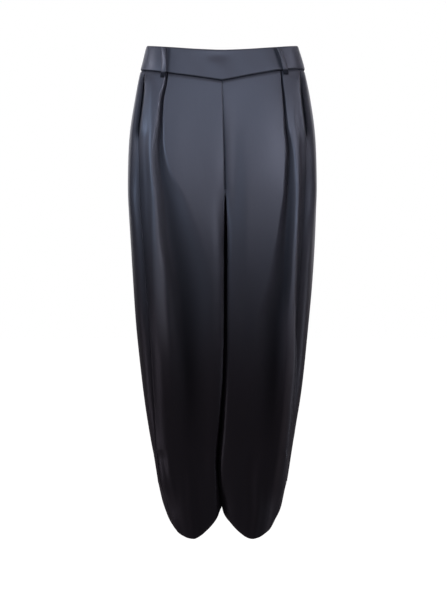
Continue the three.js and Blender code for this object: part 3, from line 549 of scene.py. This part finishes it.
def side_seam_relief(face, height, side_edge):
    """How far the cloth stands out near the side seam, and how far it slides along itself: an open pocket
    mouth, then a soft valley that fades down the leg."""
    mouth = pocket_open(height)
    valley = curve(SIDE_VALLEY, height) * near(side_edge, SIDE_VALLEY_REACH[face])
    out = -(1 - mouth) * (valley + SIDE_TURN_IN * near(side_edge, SIDE_TURN_REACH))
    slide = mouth * POCKET_SLIDE * near(side_edge, SLIDE_REACH[face])
    if face == "back":
        return out - mouth * BEHIND_IN * near(side_edge, BEHIND_REACH), -slide
    lip = smooth((POCKET_TOP - height) / LIP_STARTS_OVER) * smooth((height - LIP_END) / LIP_ENDS_OVER)
    out += lip * LIP_OUT * near(side_edge, LIP_REACH) - mouth * LIP_EDGE_IN * near(side_edge, LIP_EDGE_REACH)
    return out, slide


def seam_shade(half, face, height, below_waist, centre_edge, side_edge):
    """How much painted shade darkens each point of a panel, up to 1, at its seams and the pocket."""
    mouth = pocket_open(height)
    from_centre = np.maximum(centre_edge, 0)
    at_centre = curve(SEAM_SHADE, height) * near(from_centre, curve(SEAM_SHADE_REACH, height))
    below_pocket = smooth((height + 640) / 200) * smooth((-200 - height) / 80)
    shades = [
        0.97 * near(np.maximum(below_waist, 0), 2.0),
        at_centre * (1 if face == "front" else 0.6),
        0.8 * (1 - mouth) * near(side_edge, 1.2) * smooth((height + 420) / 250),
        0.55 * near(side_edge, SIDE_SHADE_REACH[face]) * below_pocket,
    ]
    if face == "front" and half == "left":
        shades.append(curve(SLIT_SHADE, height) * np.exp(-from_centre / 8))
    # Painted shadow on the back panel inside the open pocket mouth.
    if face == "back":
        shades.append(0.97 * mouth * near(side_edge, 11))
    return np.maximum.reduce(shades)


def pleat_shade(half, x, height):
    """Painted shade down the pleat's valley."""
    steep = pleat_depth(half, x, height) / np.maximum(curve(PLEAT[half]["depth"], height), 0.01)
    high, low = smooth((height + 300) / 120), smooth((height + 880) / 260)
    return np.maximum(0.78 * high * steep ** 1.3, 0.72 * low * steep ** 1.6)


# Painted highlight along a crest, which lightens the satin's colour.
def painted_gleam_of(half, x, height):
    gleam = {k: curve(v, height) for k, v in PAINTED_GLEAMS[half].items()}
    return gleam["strength"] * crease(x - gleam["place"], gleam["inward"], gleam["outward"])


def leg_panel(half, face):
    """A panel's points, and the painted shade and painted highlight on each. Its first columns are the leg's
    inner wall, which closes to nothing above the crotch."""
    front = face == "front"
    start = FRONT_CROTCH if front else BACK_CROTCH
    corner, inseam = (-CORNER, -90) if front else (180 + CORNER, 270)
    z, side = PANEL_HEIGHTS, side_of(half)
    shares = dense_shares(z, face, half)
    end = crotch_share(z, start)
    wall_steps = np.linspace(1, 0, WALL_COLUMNS + 1)[:-1] ** WALL_CROWDING
    wall_turn = corner + (inseam - corner) * wall_steps[None, :] * end[:, None]
    turn = np.concatenate([wall_turn, turn_of(shares)], axis=1)
    in_wall = np.arange(turn.shape[1])[None, :] < WALL_COLUMNS
    height = np.repeat(z[:, None], turn.shape[1], axis=1)
    follows = smooth((z[:, None] - LEVEL_BELOW) / LEVEL_OVER)
    height[:, WALL_COLUMNS:] += (waist_seam(shares, side) + BAND_DEPTH) * follows
    x, y = section(turn, height)
    nx, ny = outward(turn, height)

    along = lengths(np.stack([x, y, height], axis=-1), 1)
    side_edge = along[:, -1:] - along
    open_below = 60 * smooth((start - height) / (start - CROTCH))
    centre_edge = np.where(in_wall, along, along - along[:, WALL_COLUMNS:WALL_COLUMNS + 1] + open_below)
    below_waist = np.full_like(height, FAR)
    below_waist[:, WALL_COLUMNS:] = waist_seam(np.clip(shares, 0, 1), side) - height[:, WALL_COLUMNS:]

    out = folds_out(half, turn, x, y, height) * np.where(in_wall, 0, 1)
    waves = gathers(half, turn, height) + drape(half, turn, height)
    out += waves * smooth(centre_edge / CENTRE_CALM) * smooth(side_edge / SIDE_CALM)
    out -= TURN_IN * near(centre_edge, TURN_REACH)
    under_band = WAIST_TURN_IN + WAIST_TURN_BACK * below_waist
    out -= np.where(below_waist < 0, under_band, WAIST_TURN_IN * near(below_waist, WAIST_TURN_REACH))
    side_out, slide = side_seam_relief(face, height, side_edge)
    out += side_out
    x2 = x + nx * out + ny * slide
    y2 = y + ny * out - nx * slide

    gap = -SEAM if front else SEAM
    y2[:, -1] += gap
    y2[:, 0] += np.where(end >= 1, gap, 0)
    sewn = z >= CROTCH
    x2[:, 0] = np.where(sewn, SEAM, x2[:, 0])
    points = np.stack([np.maximum(x2, SEAM), y2, height], axis=-1)
    points = np.concatenate([points, leg_roll(half, turn[-1], points)], axis=0)
    loose = np.where(sewn[:, None], smooth(along / SEWN_REACH), 1.0)
    loose = np.concatenate([loose, np.ones((ROLL_ROWS, loose.shape[1]))], axis=0)

    # Painted shade in the seams and down the pleat darkens the satin, and a painted highlight lightens its
    # crests.
    painted_shade_and_highlight = seam_shade(half, face, height, below_waist, centre_edge, side_edge)
    if front:
        painted_shade_and_highlight = np.maximum(painted_shade_and_highlight, pleat_shade(half, x, height) * (1 - in_wall))
        painted_shade_and_highlight -= painted_gleam_of(half, x, height) * (1 - in_wall) * (1 - painted_shade_and_highlight)
    painted_shade_and_highlight = np.concatenate([painted_shade_and_highlight, np.repeat(painted_shade_and_highlight[-1:], ROLL_ROWS, axis=0)], axis=0)
    return wander(half, points, loose), painted_shade_and_highlight


def wander(half, points, loose):
    """Moves the slit between the legs sideways, alike on both legs. The inner walls lean to and fro, so that
    no light comes through between them, and they stand apart in front where the cloth is loose."""
    x, y, z = np.moveaxis(points, -1, 0)
    lean = LEAN * np.sin(np.pi * np.clip(y / LEAN_DEPTH, -1, 1)) * smooth((CROTCH - 20 - z) / 80)
    shift = curve(WANDER, z) * smooth(-y / 50) + lean
    parted = smooth((-30 - y) / 45) * near(x, 26) * curve(PARTED, z)
    return np.stack([x + side_of(half) * shift * near(x, 60) + parted * loose, y, z], axis=-1)


def roll_stations(turn, wall):
    """Rings of points that the rolled end of a leg runs through, from the wall's last rows to its band."""
    a = np.radians(turn)
    low = mix(ROLL_SIDE, np.where(np.cos(a) > 0, ROLL_FRONT, ROLL_BACK),
              np.abs(np.cos(a)) ** np.where(np.sin(a) < 0, *ROLL_FULL))
    inner = smooth(-np.sin(a))
    x, y = section(turn, np.full_like(turn, SECTION_END))
    stations = [wall[-12], wall[-1], np.stack([x, y, np.full_like(x, SECTION_END)], axis=-1)]
    for outside, inside, along, rise, square in ROLL:
        out = bulge(a, np.where(np.sin(a) < 0, square, 2))
        across = (outside + inside) / 2 + (outside - inside) / 2 * np.sin(a) * out
        z = low + ROLL_LIFT * inner + rise * (1 - ROLL_EVEN * inner)
        stations.append(np.stack([across, -along * np.cos(a) * out, z], axis=-1))
    ring_x = CUFF_X + (CUFF_ACROSS + CUFF_EASE) * np.sin(a)
    ring_y = -(CUFF_ALONG + CUFF_EASE) * np.cos(a)
    stations.append(np.stack([ring_x, ring_y, np.full_like(a, CUFF_TOP + 0.4)], axis=-1))
    stations.append(2 * stations[-1] - stations[-2])
    return np.array(stations)


def leg_roll(half, turn, wall):
    """The end of a leg, rolled under and up to its ankle band, carried on from the wall's last rows."""
    stations = roll_stations(turn, wall)
    steps = np.linspace(0, len(stations) - 3, ROLL_ROWS + 1)[1:]
    rows = np.array([spline_at(stations, q) for q in steps])
    depth = np.linspace(0, 1, ROLL_ROWS + 1)[1:, None]
    turns = turn[None, :] + 0 * depth
    drawn_up = gathers(half, turns, np.full_like(turns, GATHERED))
    drawn_up *= 0.7 + 0.9 * smooth((depth - 0.55) / 0.4)
    wave = mix(gathers(half, turns, rows[:, :, 2]), drawn_up, smooth(depth / 0.2))
    carried = folds_out(half, turns, *np.moveaxis(rows, -1, 0)) * (1 - smooth((depth - 0.3) / 0.3))
    edge = np.minimum(np.arange(len(turn)), np.arange(len(turn))[::-1]) / 6
    out = (wave + carried) * smooth(edge)[None, :] * (1 - smooth((depth - 0.93) / 0.07) * 0.6)
    nx, ny = outward(turn, np.full_like(turn, SECTION_END))
    rows[:, :, 0] += nx * out
    rows[:, :, 1] += ny * out
    rows[:, [0, -1], 1] += -SEAM if turn[-1] < 100 else SEAM
    return rows


def sew_leg_panels():
    made = []
    for half in ("left", "right"):
        for face in ("front", "back"):
            name = f"{face}_leg_{half}"
            points, painted_shade_and_highlight = leg_panel(half, face)
            across = lengths(points, 1)
            flat_map = np.stack([across - across[:, -1:], lengths(points, 0)], axis=-1)
            piece = make_sheet(f"satin_{name}", points, flat_map, PANEL_WALL, mirrored=half == "right",
                               outside=1 if face == "front" else -1, painted_shade_and_highlight=painted_shade_and_highlight)
            declare(piece, name)
            made.append(piece)
    return made


# ---- Waistband -----------------------------------------------------------------------------------
BAND_SIDE = float(share_at(curve(SIDE_SEAM, np.array([-50.0])), np.array([-50.0]))[0])


def band_points(shares, steps, half_side):
    """Points of the waistband's face, and the painted shade on them under its seam and beside the belt loops.
    Its edges are rounded, and it is a little uneven.
    """
    share, v = np.meshgrid(shares, steps)
    s = np.abs(share)
    mirror = np.where(share < 0, -1, 1)
    side = mirror * half_side
    z = mix(band_top(s), waist_seam(s, side) + 0.15, v)
    turn = turn_of(s)
    x, y = section(turn, z)
    nx, ny = outward(turn, z)
    depth = band_top(s) - waist_seam(s, side)
    from_top, from_seam = v * depth, (1 - v) * depth
    out = 0.9 - 1.3 * near(from_top, 1.6) - 1.0 * near(from_seam, 1.2)
    sx = x * side
    out -= BAND_DENT["depth"] * near(sx - BAND_DENT["x"], 22) * near(z - BAND_DENT["z"], 10)
    out += 0.5 * np.sin(sx / 23 + 0.6) * np.sin(z / 17 + sx / 40) + 0.35 * np.sin(sx / 9 + z / 14)
    # Painted shade along the waist seam, and painted shadows on the band beside each belt loop.
    painted_shade_and_highlight = 0.8 * near(from_seam, 1.1)
    for loop in LOOPS.values():
        aside = np.abs(sx) - mix(loop["top"], loop["foot"], v ** LOOP_SLANT)
        beside = (np.sign(sx) == loop["side"]) & ((s > 0.5) == loop["back"])
        shade = 0.6 * near(aside + loop["shade"], 3.2) * smooth(v / 0.1)
        painted_shade_and_highlight = np.maximum(painted_shade_and_highlight, np.where(beside, shade, 0))
    return np.stack([(x + nx * out) * mirror, y + ny * out, z], axis=-1), painted_shade_and_highlight


def crowded(count):
    """Steps from 0 to 1 that crowd towards both ends."""
    return 0.5 - 0.5 * np.cos(np.pi * np.linspace(0, 1, count))


def sew_waistband():
    made = []
    steps = crowded(34)
    points, painted_shade_and_highlight = band_points(np.linspace(-BAND_SIDE, BAND_SIDE, 341), steps, 1)
    for column in (0, -1):
        points[:, column, 1] -= SEAM
    flat_map = flat_grid(points)
    piece = make_sheet("satin_waistband_front", points, flat_map, BAND_WALL, painted_shade_and_highlight=painted_shade_and_highlight)
    declare(piece, "waistband_front")
    made.append(piece)
    for half in ("left", "right"):
        shares = np.linspace(BAND_SIDE, 1, 130)
        points, painted_shade_and_highlight = band_points(shares, steps, side_of(half))
        points[:, 0, 1] += SEAM
        points[:, -1, 0] = SEAM
        flat_map = flat_grid(points)
        name = f"waistband_back_{half}"
        piece = make_sheet(f"satin_{name}", points, flat_map, BAND_WALL, half == "right", painted_shade_and_highlight=painted_shade_and_highlight)
        declare(piece, name)
        made.append(piece)
    return made


# ---- Belt loops ----------------------------------------------------------------------------------
def strap_line(count):
    """A strap's path: standing out, share down the band, and millimetres below the waist seam."""
    rows = np.array(STRAP, float)
    where = np.linspace(0, len(rows) - 1, count)
    padded = np.vstack([2 * rows[0] - rows[1], rows, 2 * rows[-1] - rows[-2]])
    return np.array([spline_at(padded, q) for q in where])


def sew_belt_loops():
    made = []
    for name, loop in LOOPS.items():
        line = strap_line(STRAP_ROWS)
        s = np.clip(line[:, 1], 0, 1.0)
        place = mix(loop["top"], loop["foot"], s ** LOOP_SLANT)
        share = share_at(place, mix(0.0, -60.0, s), loop["back"])
        z = mix(band_top(share) - 0.8, waist_seam(share, loop["side"]), line[:, 1]) - line[:, 2]
        turn = turn_of(share)
        x, y = section(turn, z)
        nx, ny = outward(turn, z)
        across = np.linspace(-0.5, 0.5, LOOP_COLUMNS)[None, :]
        cup = 1 - (2 * across) ** 2
        lean = loop["twist"] * np.sin(np.pi * np.clip(s, 0, 1))[:, None] * 3.2
        stand = line[:, :1] + cup * smooth(line[:, :1] / 3) + lean * across * 2 + 1.0
        width = across * LOOP_WIDTH
        points = np.stack([x[:, None] + nx[:, None] * stand - ny[:, None] * width,
                           y[:, None] + ny[:, None] * stand + nx[:, None] * width,
                           z[:, None] + 0 * across], axis=-1)
        flat_map = flat_grid(points)
        # Painted shade on each loop's foot, where it turns under below the waist seam.
        painted_shade_and_highlight = smooth((line[:, 2:] - 0.5) / 2) + 0 * across
        piece = make_sheet(f"satin_{name}", points, flat_map, 0.8, mirrored=loop["side"] < 0, painted_shade_and_highlight=painted_shade_and_highlight)
        declare(piece, name)
        made.append(piece)
    return made


# ---- Pocket facings, ankle bands and zip tape ----------------------------------------------------
def sew_pocket_facings():
    made = []
    for half in ("left", "right"):
        z = np.linspace(POCKET_TOP + 2, POCKET_BOTTOM - 12, 60)[:, None]
        side = share_at(curve(SIDE_SEAM, z[:, 0]), z[:, 0])[:, None]
        along = np.linspace(-18, 9, 16)[None, :]
        turn = turn_of(side + along / 500)
        height = z + 0 * along
        x, y = section(turn, height)
        nx, ny = outward(turn, height)
        under = 6.4 + 2.4 * smooth(-along / 18) + 0.3 * np.sin(z / 21)
        points = np.stack([x - nx * under, y - ny * under, height], axis=-1)
        flat_map = flat_grid(points)
        name = f"pocket_facing_{half}"
        piece = make_sheet(f"satin_{name}", points, flat_map, 0.8, mirrored=half == "right")
        declare(piece, name)
        made.append(piece)
    return made


def sew_ankle_bands():
    made = []
    for half in ("left", "right"):
        a = np.linspace(0, 2 * np.pi, 321)[:-1][None, :]
        v = crowded(20)[:, None]
        shift = 0.0 if half == "left" else 0.8
        ribs = 0.45 * np.sin(52 * a + 2.2 * np.sin(5 * a + shift))
        ribs += 0.25 * np.sin(31 * a + shift + 1.5 * np.sin(3 * a))
        out = ribs * np.sin(np.pi * v) ** 0.6 + 0.8 * np.sin(np.pi * v) ** 0.5 - 0.9
        points = np.stack([CUFF_X + (CUFF_ACROSS + out) * np.sin(a), -(CUFF_ALONG + out) * np.cos(a),
                           CUFF_TOP - CUFF_DEPTH * v + 0 * a], axis=-1)
        flat_map = flat_grid(points)
        name = f"ankle_band_{half}"
        piece = make_sheet(f"satin_{name}", points, flat_map, 2.0, mirrored=half == "right", closed=True)
        declare(piece, name)
        made.append(piece)
    return made


def sew_zip_tape():
    z = np.linspace(-6, -186, 90)[:, None]
    x = np.linspace(11, -11, 15)[None, :]
    back = curve(BACK, z) * (1 - (np.abs(x) / curve(WIDTH, z)) ** BACK_POWER) ** (1 / BACK_POWER)
    under = mix(3.0, 2.6, smooth((-BAND_DEPTH - z) / 20)) + 3.4 * near(z + BAND_DEPTH, 9)
    points = np.stack([x + 0 * z, back - under, z + 0 * x], axis=-1)
    flat_map = flat_grid(points)
    piece = make_sheet("woven_zip_tape", points, flat_map, 0.8)
    declare(piece, "zip_tape")
    return [piece]


# ---- Finishes ------------------------------------------------------------------------------------
class Line:
    """A shader socket that takes sums and products as written."""

    def __init__(self, finish, socket):
        self.finish, self.socket = finish, socket

    def _math(self, operation, *values):
        return self.finish.node("ShaderNodeMath", {"operation": operation}, dict(enumerate(values)))

    def __add__(self, other):
        return self._math("ADD", self, other)

    __radd__ = __add__

    def __mul__(self, other):
        return self._math("MULTIPLY", self, other)

    def at_least(self, other):
        return self._math("MAXIMUM", self, other)


class Finish:
    """One material and its nodes."""

    def __init__(self, name):
        self.material = bpy.data.materials.new(name)
        self.material.use_nodes = True
        self.tree = self.material.node_tree
        self.shader = self.tree.nodes["Principled BSDF"]

    def node(self, kind, settings, values, output=0):
        node = self.tree.nodes.new(kind)
        for key, value in settings.items():
            setattr(node, key, value)
        for key, value in values.items():
            self.feed(node.inputs[key], value)
        return Line(self, node.outputs[output])

    def feed(self, socket, value):
        if isinstance(value, Line):
            self.tree.links.new(value.socket, socket)
        else:
            socket.default_value = value

    def set(self, **values):
        for key, value in values.items():
            self.feed(self.shader.inputs[key.replace("_", " ")], value)

    def mix_colour(self, factor, a, b):
        return self.node("ShaderNodeMix", {"data_type": "RGBA"}, {0: factor, 6: a, 7: b}, output=2)


def stretched_noise(f, where, scale, detail=2.0):
    """Noise drawn out by its scale along each way of the cloth, in cycles to the metre."""
    drawn = f.node("ShaderNodeMapping", {"vector_type": "POINT"}, {"Vector": where, "Scale": (*scale, 1)})
    values = {"Vector": drawn, "Scale": 1.0, "Detail": detail, "Roughness": 0.5}
    return f.node("ShaderNodeTexNoise", {"noise_dimensions": "3D"}, values)


# Colours of the painted highlight on crests and of the painted shade in creases and seams.
PAINTED_HIGHLIGHT_COLOUR, PAINTED_SHADE_COLOUR = (0.26, 0.26, 0.3, 1), (0.003, 0.003, 0.005, 1)


def bump(f, height, strength=1.0):
    """Relief on a finish, from a height in metres."""
    f.set(Normal=f.node("ShaderNodeBump", {}, {"Strength": strength, "Distance": 1.0, "Height": height}))


def satin(name, dark=(0.042, 0.0415, 0.052, 1), light=(0.052, 0.0515, 0.065, 1), roughness=0.42):
    """Satin, with painted shade where the attribute is above 0 and a painted highlight where it is below."""
    f = Finish(name)
    where = f.node("ShaderNodeUVMap", {"uv_map": "cloth"}, {})
    clouds = stretched_noise(f, where, (9, 5), 3)
    slubs = stretched_noise(f, where, (620, 22), 3)
    threads = stretched_noise(f, where, (2600, 160), 1)
    rumple = stretched_noise(f, where, (34, 11), 3)
    painted_shade_and_highlight = f.node("ShaderNodeAttribute", {"attribute_name": "painted_shade_and_highlight"}, {}, output=2)
    plain = f.mix_colour(clouds * 0.7 + slubs * 0.3, dark, light)
    # The attribute mixes in the painted highlight below 0 and the painted shade above 0.
    with_painted_highlight = f.mix_colour(painted_shade_and_highlight * -1, plain, PAINTED_HIGHLIGHT_COLOUR)
    f.set(Base_Color=f.mix_colour(painted_shade_and_highlight, with_painted_highlight, PAINTED_SHADE_COLOUR),
          Roughness=roughness - 0.05 + clouds * 0.06 + slubs * 0.05 + painted_shade_and_highlight.at_least(0) * 0.5)
    f.set(Specular_IOR_Level=0.5, Specular_Tint=(0.75, 0.8, 1, 1), Sheen_Weight=0.1, Sheen_Roughness=0.4,
          Sheen_Tint=(0.62, 0.66, 0.85, 1))
    bump(f, rumple * 0.00055 + slubs * 0.00003 + threads * 0.000012)
    return f.material


def zip_tape_weave(name):
    f = Finish(name)
    where = f.node("ShaderNodeUVMap", {"uv_map": "cloth"}, {})
    ribs = stretched_noise(f, where, (900, 1800), 2)
    f.set(Base_Color=f.mix_colour(ribs, (0.008, 0.008, 0.011, 1), (0.02, 0.02, 0.026, 1)),
          Roughness=0.72 + ribs * 0.15)
    bump(f, ribs * 0.0001, 0.8)
    return f.material


def zip_enamel(name):
    f = Finish(name)
    where = f.node("ShaderNodeTexCoord", {}, {}, output=3)
    grain = f.node("ShaderNodeTexNoise", {}, {"Vector": where, "Scale": 900.0, "Detail": 4.0})
    f.set(Base_Color=f.mix_colour(grain, (0.018, 0.018, 0.025, 1), (0.05, 0.05, 0.062, 1)),
          Roughness=0.26 + grain * 0.16, Metallic=0.75)
    bump(f, grain * 0.00006, 0.4)
    return f.material


# ---- Studio --------------------------------------------------------------------------------------
CAMERA_DISTANCE, CAMERA_HEIGHT, FRAME_HEIGHT = 3.3, -0.5056, 1.2


def set_camera():
    data = bpy.data.cameras.new("camera")
    data.sensor_fit = "VERTICAL"
    data.angle_y = 2 * math.atan(FRAME_HEIGHT / 2 / CAMERA_DISTANCE)
    data.clip_end = 50
    camera = bpy.data.objects.new("camera", data)
    camera.location = (0.002, -CAMERA_DISTANCE, CAMERA_HEIGHT)
    camera.rotation_euler = (math.radians(90), 0, 0)
    bpy.context.scene.collection.objects.link(camera)
    bpy.context.scene.camera = camera


def area_light(name, place, look_at, size, power, colour, spread=180):
    data = bpy.data.lights.new(name, "AREA")
    data.shape, data.size, data.size_y = "RECTANGLE", *size
    data.energy, data.color, data.spread = power, colour, math.radians(spread)
    light = bpy.data.objects.new(name, data)
    light.location = place
    way = np.array(look_at, float) - np.array(place, float)
    flat = math.hypot(way[0], way[1])
    light.rotation_euler = (math.atan2(flat, -way[2]), 0, math.atan2(way[1], way[0]) - math.pi / 2)
    bpy.context.scene.collection.objects.link(light)


# The colours of the studio light: cool from the front, plain from the sides and warm from below and around.
COOL, PLAIN, WARM = (0.7, 0.85, 1), (0.95, 0.95, 1), (1, 0.84, 0.87)
# Soft strip lights round the front: name, degrees round from the front towards the wearer's left, the height
# that it shines at, how many degrees above that it stands, power and colour.
STRIP_DISTANCE, STRIP_SIZE = 1.8, (1.0, 0.35)
STRIP_LIGHTS = [
    ("side_left", -80, 0.15, 10, 1.7, PLAIN),
    ("key_left", -40, -0.2, 10, 0.7, COOL),
    ("key_high", 0, 0.15, 10, 0.45, COOL),
    ("key_middle", 15, -0.25, 10, 0.5, PLAIN),
    ("side_right", 60, 0.1, 10, 1, PLAIN),
    ("low_left", -80, -0.85, -5, 0.15, WARM),
]


def strip_light(name, round_front, aim, above, power, colour):
    way, rise = math.radians(round_front), math.radians(above)
    level = STRIP_DISTANCE * math.cos(rise)
    place = (level * math.sin(way), -0.1 - level * math.cos(way), aim + STRIP_DISTANCE * math.sin(rise))
    area_light(name, place, (0, -0.1, aim), STRIP_SIZE, power, colour, spread=30 if above < 0 else 22)


def light_studio():
    for row in STRIP_LIGHTS:
        strip_light(*row)
    area_light("fill_right", (2.125, -0.1, -0.87), (0, -0.1, -0.3), (0.8, 0.8), 4, PLAIN)
    area_light("back_left", (-1.1, 1.9, 0.2), (0, 0, -0.4), (1.2, 1.2), 6, PLAIN)
    area_light("back_right", (1.3, 1.8, 0.1), (0, 0, -0.4), (1.2, 1.2), 4.8, PLAIN)
    world = bpy.data.worlds.new("studio")
    world.use_nodes = True
    nodes, links = world.node_tree.nodes, world.node_tree.links
    sky = nodes["Background"]
    sky.inputs["Color"].default_value = (*WARM, 1)
    sky.inputs["Strength"].default_value = 0.08
    white = nodes.new("ShaderNodeBackground")
    white.inputs["Color"].default_value = (1, 1, 1, 1)
    choose, path = nodes.new("ShaderNodeMixShader"), nodes.new("ShaderNodeLightPath")
    links.new(path.outputs["Is Camera Ray"], choose.inputs[0])
    links.new(sky.outputs[0], choose.inputs[1])
    links.new(white.outputs[0], choose.inputs[2])
    links.new(choose.outputs[0], nodes["World Output"].inputs["Surface"])
    bpy.context.scene.world = world
    bpy.context.scene.view_settings.view_transform = "Standard"


def lay_floor():
    bpy.ops.object.select_all(action="DESELECT")
    bpy.ops.mesh.primitive_plane_add(size=60, location=(0, 0, 0))
    floor = bpy.context.object
    floor.name = "floor"
    for v in floor.data.vertices:
        v.co.z = -1.3
    f = Finish("pale_floor")
    f.set(Base_Color=(0.9, 0.9, 0.9, 1), Roughness=0.9, Emission_Color=(1, 1, 1, 1), Emission_Strength=0.97)
    floor.data.materials.append(f.material)
    floor.visible_diffuse = floor.visible_glossy = False


# ---- Making up -----------------------------------------------------------------------------------
def dress(piece, material):
    piece.data.materials.clear()
    piece.data.materials.append(material)


set_camera()
light_studio()
lay_floor()

legs, bands, loops = sew_leg_panels(), sew_waistband(), sew_belt_loops()
facings, ankles = sew_pocket_facings(), sew_ankle_bands()
panel_satin, band_satin = satin("satin_body"), satin("satin_waistband", roughness=0.46)
# The pocket facing is the same satin made much darker, as painted shade inside the pocket mouth.
shaded_facing_satin = satin("satin_facing_painted_shade", (0.006, 0.006, 0.008, 1), (0.009, 0.009, 0.012, 1), 0.5)
for pieces, finish in ((legs, panel_satin), (bands, band_satin), (loops, band_satin), (facings, shaded_facing_satin),
                       (ankles, panel_satin), (sew_zip_tape(), zip_tape_weave("zip_tape_weave"))):
    for piece in pieces:
        dress(piece, finish)
enamel = zip_enamel("zip_enamel")
for node in ("zip_slider", "zip_pull"):
    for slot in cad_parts[node].material_slots:
        slot.material = enamel
